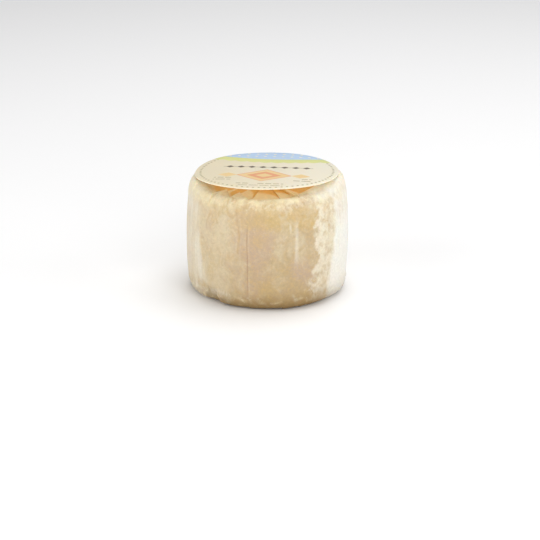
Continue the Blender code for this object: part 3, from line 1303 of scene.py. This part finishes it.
    def _cream_and_painted_highlight(self, spot: Spot, shown: Features) -> float:
        """Gives how far the paper has dried to a warm cream, on the rim, the creases and the edges, with
        painted highlights along the crest by the lip, on the rises of the rim's lumps, along the wall's
        creases, and beside the end edge and the golden fold.

        Args:
            spot: The spot.
            shown: What shows there.

        Returns:
            A share, which can pass 1.
        """
        degrees, height = spot.degrees, spot.height
        dried = 0.66 - 0.26 * smooth(degrees, *self.less_dried_middle)
        dried -= 0.13 * smooth(degrees, *self.less_dried_right)
        # The rim's dried cream, lighter on its ridges, with a painted highlight on the rises of its lumps.
        rim = dried * smooth(height, *self.dried_heights) + 0.25 * shown.rim_ridge + 0.45 * shown.lumps
        # A painted highlight along the front's crest, just below the lip.
        rim += 0.22 * within(degrees, *self.middle_rim) * smooth(height, *self.crest_heights)
        # A painted highlight where the crest's folded edge meets the lip.
        painted_lip_highlight = bell(spot.into_dish, *self.lip_line) * (1.0 - smooth(abs(degrees), *self.lip_line_end))
        band_edges = max(self.left_edge.ridge(degrees, height), 0.7 * self.right_edge.ridge(degrees, height))
        plain_degrees = math.degrees(math.remainder(spot.column.azimuth, math.tau))
        # A painted highlight on the lit side of the end edge.
        painted_end_highlight = self.end_edge.ridge(plain_degrees - 1.0, height)
        return max(
            rim,
            0.9 * shown.crinkle,
            # Painted highlights along the wall's creases and on the lit side of the golden fold
            0.3 * shown.wall_crease,
            0.3 * shown.beside_fold,
            0.45 * shown.foot_mark,
            0.9 * painted_lip_highlight,
            0.4 * band_edges,
            0.25 * painted_end_highlight,
            0.1 * shown.fold_line**4,
        )

    def _painted_low_shade(self, spot: Spot) -> float:
        """Gives the painted shade that darkens the paper towards the foot: a little all down the wall, most
        at the middle's foot.

        Args:
            spot: The spot.

        Returns:
            A share from 0 to 1.
        """
        height = spot.height
        painted_low_shade = 0.14 * (1.0 - smooth(height, *self.low_shade_wall))
        painted_low_shade += 0.16 * (1.0 - smooth(height, *self.low_shade_low_wall))
        painted_low_shade += 0.69 * (1.0 - smooth(height, *self.low_shade_foot))
        return painted_low_shade * (1.0 - 0.45 * smooth(abs(spot.degrees + 2.0), *self.low_shade_sides))

    def _stands_off(self, spot: Spot) -> float:
        """Gives 1 where the paper lies on another layer, at the front's left and right bands.

        Args:
            spot: The spot.

        Returns:
            A share from 0 to 1.
        """
        degrees, height = spot.degrees, spot.height
        left = 1.0 - smooth(self.left_edge.off(degrees, height), *self.band_step)
        left *= smooth(degrees, *self.left_band_from) * self.left_edge.ends(height)
        right = smooth(self.right_edge.off(degrees, height), *self.band_step)
        right *= (1.0 - smooth(degrees, *self.right_band_to)) * self.right_edge.ends(height)
        return left + right

    def _far_band(self, degrees: float, height: float) -> float:
        """Gives the far side's loose bands, each crisp at its left edge and fading out to the right.

        Args:
            degrees: The azimuth.
            height: The height.

        Returns:
            A share from 0 to 1.
        """
        shares = []
        for edge in self.far_edges:
            off = edge.off(degrees, height)
            shares.append(within(off, self.band_step, self.far_band_fade) * edge.ends(height))
        return max(shares)

    def _left_band(self, spot: Spot) -> float:
        """Gives the pale band at the front's left, whose edge is crisp low down and soft higher up.

        Args:
            spot: The spot.

        Returns:
            A share from 0 to 1.
        """
        softness = 0.7 + 7.0 * smooth(spot.height, *self.left_band_softer)
        band = 1.0 - smooth(self.left_edge.off(spot.degrees, spot.height), -softness, softness)
        band *= smooth(spot.height, *self.left_band_foot)
        return band * smooth(spot.degrees, *self.left_band_fade)

    def _loose_and_painted_light(self, spot: Spot) -> float:
        """Gives how far the front's paper hangs free of the cheese, where it is smooth and pale, with painted
        light on the rim under the label's right end.

        Args:
            spot: The spot.

        Returns:
            A share from 0 to 1.
        """
        degrees, height, sway = spot.degrees, spot.height, spot.sway
        right = smooth(self.right_edge.off(degrees, height) + 1.5 * sway, *self.right_band_edge)
        right *= 1.0 - smooth(degrees + 12.0 * sway, *self.right_band_fade)
        right *= 1.0 - 0.4 * smooth(height, *self.right_band_thinner)
        off = self.left_edge.off(degrees, height)
        strip = bell(off, *self.strip_place) * (1.0 - smooth(off, *self.strip_edge))
        strip *= 1.0 - smooth(height, *self.strip_top)
        paler = smooth(height, *self.left_band_paler)
        left = (0.31 + 0.15 * strip + 0.14 * paler) * self._left_band(spot)
        # Painted light on the rim under the label's right end, where the label's shadow falls.
        painted_flap_light = smooth(degrees + 4.0 * sway, *self.painted_flap_light) * (1.0 - smooth(degrees, *self.flap_end))
        painted_flap_light *= smooth(height, *self.flap_heights)
        return max(right, left, 0.9 * painted_flap_light)

    def _dry(self, spot: Spot) -> float:
        """Gives how far the paper has dried off the cheese and paled: most at the front's two sides.

        Args:
            spot: The spot.

        Returns:
            A share from 0 to 1.
        """
        leaned = spot.degrees + self.dry_lean * (spot.height - self.middle_height)
        left = 0.9 - 0.9 * smooth(leaned, *self.dry_left)
        right = 0.75 * smooth(spot.degrees, *self.dry_right)
        golden = 0.18 * smooth(spot.height, *self.golden_rim)
        golden *= 1.0 - smooth(spot.degrees, *self.golden_rim_end)
        return (0.32 + 0.48 * max(left, right) + 0.25 * spot.far) * (1.0 - golden)

    def _fatty(self, spot: Spot) -> float:
        """Gives how far golden fat has soaked the paper: below the rim, on it, and at the foot.

        Args:
            spot: The spot.

        Returns:
            A share from 0 to 1.
        """
        degrees, height = spot.degrees, spot.height
        band = within(height + 1.5 * spot.sway, *self.fatty_band)
        band *= 0.45 + 0.45 * smooth(degrees, *self.fatty_band_stronger)
        rim = 0.65 * smooth(height, *self.fatty_rim) * (1.0 - smooth(degrees, *self.fatty_rim_end))
        beside_patch = 0.4 * smooth(self.patch_edge.off(degrees, height), *self.fatty_patch)
        beside_patch *= 1.0 - smooth(degrees, *self.fatty_patch_end)
        foot = 0.4 * (1.0 - smooth(height, *self.fatty_foot))
        foot *= 1.0 - smooth(abs(degrees), *self.fatty_foot_end)
        return max(band, rim, foot, beside_patch)

    def _crumpled(self, spot: Spot) -> float:
        """Gives how far white crumple veins cover the paper: in the patch, on the rim, at the foot.

        Args:
            spot: The spot.

        Returns:
            A share from 0 to 1.
        """
        degrees, height, sway = spot.degrees, spot.height, spot.sway
        off = self.patch_edge.off(degrees, height) + 6.0 * sway + 2.5 * spot.ragged
        veined = 0.68 - 0.2 * smooth(off, *self.patch_fade) + 0.28 * spot.ragged + 0.26 * sway
        patch = smooth(off, *self.patch) * veined * (1.0 - smooth(degrees, *self.patch_end))
        side = 0.2 + 0.2 * within(degrees, *self.crumpled_rim_more)
        rim = side * smooth(height + 1.2 * sway, *self.crumpled_rim)
        away = 0.5 * smooth(-spot.far, *self.far_patches)
        away *= smooth(abs(degrees), *self.far_patches_from)
        at_left = within(degrees, *self.crumpled_left_foot)
        foot = (0.12 + 0.5 * at_left) * (1.0 - smooth(height + sway, *self.crumpled_foot))
        return max(patch, rim, away, foot)


@dataclass
class PaperWrap:
    """The drum of cheese in its paper: barrel, rim, pleats, folds and the margin turned under.

    Azimuths are in degrees unless a line turns them to radians. A pair of them is where a change
    begins and where it is done, and a stretch has such a pair at its start and at its end.
    """

    belly_radius: float = 25.0 * MM
    wall_top_radius: float = 24.4 * MM
    wall_foot_radius: float = 24.5 * MM
    base_radius: float = 20.6 * MM
    crest_height: float = 35.05 * MM
    crest_radius: float = 21.5 * MM
    crest_roll: float = math.radians(0.8)
    crest_gap: float = 0.5 * MM
    least_crest_gap: float = 0.4 * MM
    crest_notch: float = 0.3
    shoulder_height: float = 4.7 * MM
    foot_height: float = 4.2 * MM
    lip_radius: float = 20.8 * MM
    lip_drop: float = 0.04 * MM
    dish_drop: float = 0.55 * MM
    dish_edge: float = 1.2 * MM
    knot_foot_radius: float = 8.0 * MM
    knot_radius: float = 4.2 * MM
    knot_height: float = 36.72 * MM
    knot_fall: float = 0.03 * MM
    front_pleats: tuple[Pleat, ...] = (
        Pleat(-72.0, 0.1 * MM, 1.2 * MM, 1.0 * MM, 0.1 * MM),
        Pleat(-47.0, 0.1 * MM, 1.1 * MM, 4.0 * MM, 0.9 * MM),
        Pleat(-30.0, 0.1 * MM, 1.1 * MM, 4.2 * MM, 1.1 * MM),
        Pleat(-13.6, 0.2 * MM, 0.6 * MM, -0.6 * MM, 0.8 * MM),
        Pleat(12.0, 0.15 * MM, 0.6 * MM, -0.8 * MM, 0.8 * MM),
        Pleat(26.0, 0.0 * MM, 0.2 * MM, 0.0 * MM, 0.0 * MM),
        Pleat(33.5, 0.9 * MM, 1.1 * MM, 0.0 * MM, 0.0 * MM),
    )
    front_end: float = 74.0
    end_edge_azimuth: float = -13.6
    far_pleats: int = 15
    far_unevenness: float = 0.25
    far_depth: float = 1.0 * MM
    far_reach: float = 1.2 * MM
    straight_fold_azimuth: float = math.radians(57)
    straight_fold_reach: float = math.radians(60)
    straight_fold_distance: float = 17.5 * MM
    pocket_azimuth: float = math.radians(-21)
    pocket_spread: float = math.radians(24)
    pocket_reach: float = 0.7 * MM
    side_crest: float = 0.5 * MM
    side_crest_turn: Pair = (45.0, 80.0)
    sharp_right: Stretch = ((26.0, 40.0), (64.0, 80.0))
    sharp_left: Stretch = ((20.0, 50.0), (66.0, 80.0))
    sharp_left_share: float = 0.7
    left_lift: float = 1.1 * MM
    left_lift_turn: Pair = (60.0, 78.0)
    right_lift: float = 1.0 * MM
    right_lift_turn: Pair = (48.0, 74.0)
    back_lift: float = 0.8 * MM
    back_lift_turn: Pair = (100.0, 150.0)
    lift_depth: float = 3.0 * MM
    foot_step: float = 1.1 * MM
    tucked_foot: Stretch = ((36.5, 39.5), (44.0, 57.0))
    foot_bulge: float = 0.45 * MM
    foot_bulges: tuple[FootBulge, ...] = (
        FootBulge(16.0, 13.0, 1.0),
        FootBulge(-34.0, 4.0, 0.4),
        FootBulge(68.0, 12.0, 0.8),
    )
    end_edge_depth: float = 0.11 * MM
    fold_depth: float = 0.14 * MM
    foot_fold_share: float = 0.2
    fold_sway: float = math.radians(1.4)
    wall_wave: float = 0.22 * MM
    crest_wave: float = 0.25 * MM
    wave_length: float = 17.0 * MM
    under_pleat: float = 0.3 * MM
    under_height: float = 1.5 * MM
    under_radii: Pair = (2.5 * MM, 7.0 * MM)
    seed: int = 11
    column_width: float = 0.92
    riser_width: float = 0.3
    ring_step: float = 0.38 * MM
    sharp_angle: float = math.radians(38)
    columns: list[Column] = field(default_factory=list)

    def build(self) -> bpy.types.Object:
        """Turns the drum, lays its paper in folds and dresses it.

        Returns:
            The finished piece.
        """
        self.columns = self._columns()
        piece = turned("paper_wrap", self._outline(), len(self.columns))
        mesh = piece.data
        plain = [vertex.co.copy() for vertex in mesh.vertices]
        columns = [self._column_at(point) for point in plain]
        for vertex, point, column in zip(mesh.vertices, plain, columns):
            vertex.co = self._laid(point, column)
        mesh.update()
        ways = [normal.vector.copy() for normal in mesh.vertex_normals]
        surface = WrapSurface(self.lip_radius, self.end_edge_azimuth, self.seed + 2)
        states = []
        for vertex, point, column, way in zip(mesh.vertices, plain, columns, ways):
            relief, state = surface.at(point, vertex.co.copy(), column)
            vertex.co += way * relief
            states.append(state)
        for kind in PaperState:
            layer = mesh.attributes.new(kind.value, "FLOAT", "POINT")
            layer.data.foreach_set("value", [state[kind] for state in states])
        smooth_shaded(piece, self.sharp_angle)
        mesh.materials.append(ClingingPaper().material())
        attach(piece, "root")
        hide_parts(Node.CHEESE.value)
        return piece

    def _pleats(self) -> list[Pleat]:
        """Lists the pleats once round.

        Returns:
            The pleats, from the front left to the far side and back.
        """
        draw = random.Random(self.seed)
        made = list(self.front_pleats)
        widths = [1.0 + self.far_unevenness * draw.uniform(-1.0, 1.0) for _ in range(self.far_pleats)]
        far_width = 360.0 + made[0].start - self.front_end
        start = self.front_end
        for width in widths:
            depth = self.far_depth * draw.uniform(0.75, 1.2)
            made.append(Pleat(start, 0.2 * depth * draw.random(), depth, 0.0, self.far_reach * draw.random()))
            start += far_width * width / sum(widths)
        return made

    def _columns(self) -> list[Column]:
        """Spreads the upright rows of points over the pleats, with one at every folded edge.

        Returns:
            The columns, once round.
        """
        draw = random.Random(self.seed + 1)
        pleats = self._pleats()
        ends = [pleat.start for pleat in pleats[1:]] + [360.0 + pleats[0].start]
        made = []
        for pleat, end in zip(pleats, ends):
            width = end - pleat.start
            fold = self.fold_depth * draw.random() ** 2
            wall_fold = self.end_edge_depth if end == self.end_edge_azimuth else fold
            count = max(5, round(width / self.column_width))
            for number in range(count):
                share = number / (count - 1)
                flat_width = width - self.riser_width
                made.append(
                    Column(
                        azimuth=math.radians(pleat.start + flat_width * share),
                        end=end,
                        share=share,
                        drop=pleat.high + (pleat.low - pleat.high) * share,
                        reach=(pleat.inset + pleat.reach) * share - pleat.inset,
                        wall_fold=wall_fold * share**3,
                    )
                )
        return made

    def _column_at(self, point: Vector) -> Column:
        """Finds the column of a point of the plain turned drum."""
        turn = math.atan2(point.y, point.x) % math.tau
        return self.columns[round(turn / math.tau * len(self.columns)) % len(self.columns)]

    def _outline(self) -> list[Pair]:
        """Draws half a section of the plain drum, from the knot's top to the base's centre.

        Returns:
            The radius and height of each point.
        """
        floor = self.crest_height - self.dish_drop
        floor_edge = self.lip_radius - self.dish_edge
        wall_top = self.crest_height - self.shoulder_height
        swell = self.belly_radius - 0.5 * (self.wall_top_radius + self.wall_foot_radius)
        points = [(0.0, self.knot_height)]
        for share in self._shares(self.knot_radius):
            points.append((self.knot_radius * share, self.knot_height - self.knot_fall * share))
        for share in self._shares(self.knot_foot_radius - self.knot_radius):
            radius = self.knot_radius + (self.knot_foot_radius - self.knot_radius) * share
            fall = 0.5 - 0.5 * math.cos(math.pi * share)
            points.append((radius, self.knot_height + (floor - self.knot_height) * fall))
        for share in self._shares(floor_edge - self.knot_foot_radius):
            points.append((self.knot_foot_radius + (floor_edge - self.knot_foot_radius) * share, floor))
        for share in self._shares(1.3 * self.dish_edge):
            rise = (self.dish_drop - self.lip_drop) * smooth(share, 0.0, 1.0)
            points.append((floor_edge + self.dish_edge * share, floor + rise))
        for share in self._shares(self.crest_radius - self.lip_radius):
            rise = self.lip_drop * math.sin(0.5 * math.pi * share)
            radius = self.lip_radius + (self.crest_radius - self.lip_radius) * share
            points.append((radius, self.crest_height - self.lip_drop + rise))
        for share in self._shares(1.25 * self.shoulder_height):
            turn = 0.5 * math.pi * share
            radius = self.crest_radius + (self.wall_top_radius - self.crest_radius) * math.sin(turn)
            points.append((radius, self.crest_height - self.shoulder_height * (1.0 - math.cos(turn))))
        for share in self._shares(wall_top - self.foot_height):
            straight = self.wall_top_radius + (self.wall_foot_radius - self.wall_top_radius) * share
            radius = straight + swell * 4.0 * share * (1.0 - share)
            points.append((radius, wall_top + (self.foot_height - wall_top) * share))
        for share in self._shares(1.4 * self.foot_height):
            turn = 0.5 * math.pi * share
            radius = self.base_radius + (self.wall_foot_radius - self.base_radius) * math.cos(turn)
            points.append((radius, self.foot_height * (1.0 - math.sin(turn))))
        for share in self._shares(0.5 * self.base_radius):
            points.append((self.base_radius * (1.0 - share), 0.0))
        return points

    def _shares(self, length: float) -> list[float]:
        """Splits a stretch of the outline into even steps of about one ring.

        Args:
            length: The stretch's length.

        Returns:
            The share of the stretch at the end of each step.
        """
        steps = max(2, round(length / self.ring_step))
        return [step / steps for step in range(1, steps + 1)]

    def _lip(self, column: Column) -> float:
        """Gives the radius where the dish ends: further out in a pleat's low end, and straight at the fold.

        Args:
            column: The column of points.

        Returns:
            The lip's radius.
        """
        off = math.remainder(column.azimuth - self.straight_fold_azimuth, math.tau)
        lip = self.lip_radius + column.reach
        if abs(off) > self.straight_fold_reach:
            return lip
        return min(lip, self.straight_fold_distance / math.cos(off))

    def _crest(self, column: Column) -> float:
        """Gives the radius where the rim is highest.

        Args:
            column: The column of points.

        Returns:
            A radius a little further out round the front left pockets, and close to the lip
            beside the label's front.
        """
        off = math.remainder(column.azimuth - self.pocket_azimuth, math.tau)
        degrees = math.degrees(math.remainder(column.azimuth, math.tau))
        inwards = self.side_crest * smooth(abs(degrees), *self.side_crest_turn)
        crest = self.crest_radius + self.pocket_reach * bell(off, 0.0, self.pocket_spread) - inwards
        at_left = self.sharp_left_share * within(-degrees, *self.sharp_left)
        sharp = max(within(degrees, *self.sharp_right), at_left)
        lip = self._lip(column)
        crest += (lip + self.crest_gap - crest) * sharp
        return max(crest, lip + self.least_crest_gap)

    def _lift(self, azimuth: float, height: float, radius: float) -> float:
        """Gives how far the rim rises at the sides and back to meet the label that rests on it.

        Args:
            azimuth: The azimuth, in radians.
            height: The height on the plain drum.
            radius: The radius on the plain drum.

        Returns:
            The rise.
        """
        degrees = math.degrees(math.remainder(azimuth, math.tau))
        side = self.left_lift if degrees < 0.0 else self.right_lift
        rise = side * max(smooth(-degrees, *self.left_lift_turn), smooth(degrees, *self.right_lift_turn))
        rise += (self.back_lift - side) * smooth(abs(degrees), *self.back_lift_turn)
        on_rim = smooth(height, self.crest_height - self.lift_depth, self.crest_height)
        return rise * on_rim * smooth(radius, 0.65 * self.lip_radius, 0.95 * self.lip_radius)

    def _foot_shift(self, azimuth: float) -> float:
        """Gives how far the foot stands out: tucked in left of its step, and bulging right of it.

        Args:
            azimuth: The azimuth, in radians.

        Returns:
            The shift outwards.
        """
        degrees = math.degrees(math.remainder(azimuth, math.tau))
        bulge = sum(part.share * bell(degrees, part.azimuth, part.spread) for part in self.foot_bulges)
        return self.foot_bulge * bulge - self.foot_step * within(-degrees, *self.tucked_foot)

    def _pleated(self, plain_radius: float, plain_height: float, column: Column) -> tuple[float, float]:
        """Lays a point of the plain drum's top into its pleat.

        Args:
            plain_radius: The point's radius on the plain drum.
            plain_height: Its height there.
            column: Its column.

        Returns:
            The point's radius and height.
        """
        if plain_height <= self.crest_height - self.shoulder_height:
            return plain_radius, plain_height
        if plain_radius <= self.knot_foot_radius:
            off_knot = smooth(plain_radius, 0.9 * self.knot_radius, self.knot_foot_radius)
            return plain_radius, plain_height - column.drop * off_knot
        stops = (self.knot_foot_radius, self.lip_radius, self.crest_radius, self.wall_top_radius)
        places = (self.knot_foot_radius, self._lip(column), self._crest(column), self.wall_top_radius)
        in_dish = smooth(self.lip_radius - plain_radius, 0.0, self.dish_edge)
        notched = smooth(self.wall_top_radius - plain_radius, 0.5 * MM, 2.7 * MM)
        fall = column.drop * in_dish + self.crest_notch * max(0.0, column.reach) * notched
        return float(np.interp(plain_radius, stops, places)), plain_height - fall

    def _laid(self, point: Vector, column: Column) -> Vector:
        """Moves a point of the plain turned drum to where the pleated paper has it.

        Args:
            point: The point on the plain drum.
            column: Its column.

        Returns:
            The point on the folded paper.
        """
        plain_radius = math.hypot(point.x, point.y)
        if plain_radius < 0.01 * MM:
            return point.copy()
        on_top = smooth(point.z, self.crest_height - self.shoulder_height, self.crest_height - self.dish_drop)
        off_base = smooth(point.z, 0.0, self.foot_height)
        radius, height = self._pleated(plain_radius, point.z, column)
        height += self._lift(column.azimuth, point.z, plain_radius)
        way = Vector((math.sin(column.azimuth), -math.cos(column.azimuth), 0.0))
        place = (way * radius + Vector((0.0, 0.0, height))) / self.wave_length
        foot = 1.0 - smooth(height, 0.6 * self.foot_height, 1.6 * self.foot_height)
        fold = column.wall_fold * (1.0 - on_top) + self.foot_fold_share * column.drop * foot
        radius += (self.wall_wave * noise.noise(place) - fold) * off_base
        off_middle = smooth(plain_radius, 0.6 * self.base_radius, self.base_radius)
        radius += self._foot_shift(column.azimuth) * foot * off_middle
        sway = noise.noise(Vector((5.0 * way.x, 5.0 * way.y, 1.5 * place.z))) * off_base
        way.rotate(Matrix.Rotation(self.fold_sway * sway * (1.0 - 0.7 * on_top), 3, "Z"))
        height += self.crest_wave * noise.noise(place + Vector((3.0, 5.0, 7.0))) * on_top
        height += math.tan(self.crest_roll) * way.x * radius * on_top
        underneath = 1.0 - smooth(point.z, 0.0, self.under_height)
        height += self.under_pleat * column.share * smooth(plain_radius, *self.under_radii) * underneath
        return way * radius + Vector((0.0, 0.0, height))


@dataclass
class RoundLabel:
    """The thin round label: its sides droop a little, and it leans back from its raised front."""

    radius: float = 22.05 * MM
    thickness: float = 0.3 * MM
    height: float = 37.2 * MM
    offset: float = -0.15 * MM
    lean: float = math.radians(2.3)
    roll: float = math.radians(0.5)
    droop: float = 0.6 * MM
    waviness: float = 0.07 * MM
    print_turn: float = math.radians(8)
    sides: int = 192
    rings: int = 11

    def build(self) -> bpy.types.Object:
        """Cuts the disc, gives it its thickness and natural bend, and dresses it.

        Returns:
            The finished piece.
        """
        deselect_all()
        bpy.ops.mesh.primitive_circle_add(vertices=self.sides, radius=self.radius, fill_type="NGON")
        piece = bpy.context.object
        piece.name = piece.data.name = "round_label"
        bpy.ops.object.mode_set(mode="EDIT")
        bpy.ops.mesh.select_all(action="SELECT")
        for _ in range(self.rings - 1):
            bpy.ops.mesh.inset(thickness=self.radius / self.rings)
        bpy.ops.mesh.poke()
        bpy.ops.object.mode_set(mode="OBJECT")
        apply_modifier(piece, "SOLIDIFY", {"thickness": self.thickness, "offset": 0.0})
        bevel = {"width": 0.05 * MM, "segments": 2, "limit_method": "ANGLE", "angle_limit": math.radians(60)}
        apply_modifier(piece, "BEVEL", bevel)
        mesh = piece.data
        mesh.materials.append(PrintedCard().material())
        mesh.materials.append(BareCard().material())
        for face in mesh.polygons:
            face.material_index = 0 if face.normal.z > 0.9 else 1
        self._note_print_place(mesh)
        for vertex in mesh.vertices:
            vertex.co.z += self._bend(vertex.co)
        lean = Matrix.Rotation(-self.lean, 4, "X") @ Matrix.Rotation(-self.roll, 4, "Y")
        mesh.transform(Matrix.Translation((self.offset, 0.0, self.height)) @ lean)
        smooth_shaded(piece, math.radians(40))
        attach(piece, "root")
        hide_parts(Node.LABEL.value)
        return piece

    def _note_print_place(self, mesh: bpy.types.Mesh) -> None:
        """Keeps each point's place on the flat print, in millimetres, as an attribute.

        Args:
            mesh: The label's mesh, still flat.
        """
        turn = Matrix.Rotation(self.print_turn, 3, "Z")
        layer = mesh.attributes.new("print_place", "FLOAT_VECTOR", "POINT")
        for vertex, place in zip(mesh.vertices, layer.data):
            place.vector = turn @ Vector((vertex.co.x, vertex.co.y, 0.0)) / MM

    def _bend(self, point: Vector) -> float:
        """Gives how far the flat label is bent up at a point: drooping sides and a slight wave.

        Args:
            point: The point on the flat label.

        Returns:
            The rise, or a fall where it is less than 0.
        """
        out = math.hypot(point.x, point.y) / self.radius
        azimuth = math.atan2(point.y, point.x)
        wave = math.sin(3.0 * azimuth + 0.8) + 0.5 * math.sin(5.0 * azimuth + 2.1)
        return self.waviness * wave * out**3 - self.droop * (point.x / self.radius) ** 4


@dataclass(frozen=True)
class Lamp:
    """A soft light.

    Attributes:
        name: Its name.
        place: Where it hangs.
        size: How wide its face is.
        power: Its power in watts.
        colour: Its sRGB hex colour.
    """

    name: str
    place: tuple[float, float, float]
    size: float
    power: float
    colour: str = "#FFFEFB"

    def hang(self) -> bpy.types.Object:
        """Hangs the light, facing straight down.

        Returns:
            The light.
        """
        lamp = bpy.data.lights.new(self.name, "AREA")
        lamp.size = self.size
        lamp.energy = self.power
        lamp.color = linear(self.colour)[:3]
        light = bpy.data.objects.new(self.name, lamp)
        bpy.context.scene.collection.objects.link(light)
        light.location = self.place
        return light


@dataclass
class Studio:
    """A plain pale floor, soft light and the photograph's camera."""

    floor_size: float = 4.0
    floor_colour: str = "#FBFBFC"
    sky_colour: str = "#FFFFFF"
    sky_strength: float = 0.34
    aim: tuple[float, float, float] = (0.0, 0.0, 20.0 * MM)
    lamps: tuple[Lamp, ...] = (
        Lamp("front", (0.20, -0.57, 0.35), 0.5, 1.75),
        Lamp("left", (-0.52, -0.28, 0.24), 0.45, 1.5),
        Lamp("right", (0.58, -0.12, 0.26), 0.4, 0.8),
        Lamp("top", (0.10, 0.15, 0.60), 0.5, 2.05, "#FFFFFF"),
    )
    through_label: Lamp = Lamp("through_label", (0.0, 0.0, 36.6 * MM), 36.0 * MM, 0.0016, "#FFF4DE")
    label_lean: float = math.radians(2.3)
    camera_place: tuple[float, float, float] = (0.8 * MM, -579.1 * MM, 215.5 * MM)
    camera_pitch: float = math.radians(20)
    camera_lens: float = 131.5
    camera_sensor: float = 36.0

    def build(self) -> None:
        """Sets up the floor, the lights, the sky and the camera."""
        self._lay_floor()
        for lamp in self.lamps:
            way = Vector(self.aim) - Vector(lamp.place)
            lamp.hang().rotation_euler = way.to_track_quat("-Z", "Y").to_euler()
        self._light_folds()
        scene = bpy.context.scene
        scene.world = bpy.data.worlds.new("studio")
        scene.world.use_nodes = True
        sky = scene.world.node_tree.nodes["Background"]
        sky.inputs["Color"].default_value = linear(self.sky_colour)
        sky.inputs["Strength"].default_value = self.sky_strength
        scene.view_settings.view_transform = "Standard"
        scene.camera = bpy.data.objects.new("camera", bpy.data.cameras.new("camera"))
        scene.collection.objects.link(scene.camera)
        scene.camera.data.lens = self.camera_lens
        scene.camera.data.sensor_width = self.camera_sensor
        scene.camera.location = self.camera_place
        scene.camera.rotation_euler = (0.5 * math.pi - self.camera_pitch, 0.0, 0.0)

    def _lay_floor(self) -> None:
        """Lays the pale floor, just under the cheese."""
        deselect_all()
        bpy.ops.mesh.primitive_plane_add(size=self.floor_size, location=(0.0, 0.0, 0.0))
        floor = bpy.context.object
        floor.name = "floor"
        looks = {"Base Color": linear(self.floor_colour), "Roughness": 0.9}
        floor.data.materials.append(new_material("matt_paint", looks)[0])

    def _light_folds(self) -> None:
        """Gives the folds under the label the warm light that the thin label lets through."""
        light = self.through_label.hang()
        light.data.shape = "DISK"
        light.rotation_euler = (-self.label_lean, 0.0, 0.0)
        light.visible_camera = False


def main() -> None:
    """Builds the studio, the wrap and the label."""
    logging.basicConfig(level=logging.INFO, format="%(name)s: %(message)s")
    Studio().build()
    for maker in (PaperWrap(), RoundLabel()):
        piece = maker.build()
        log.info("%s: %d faces", piece.name, len(piece.data.polygons))


if __name__ == "__main__":
    main()
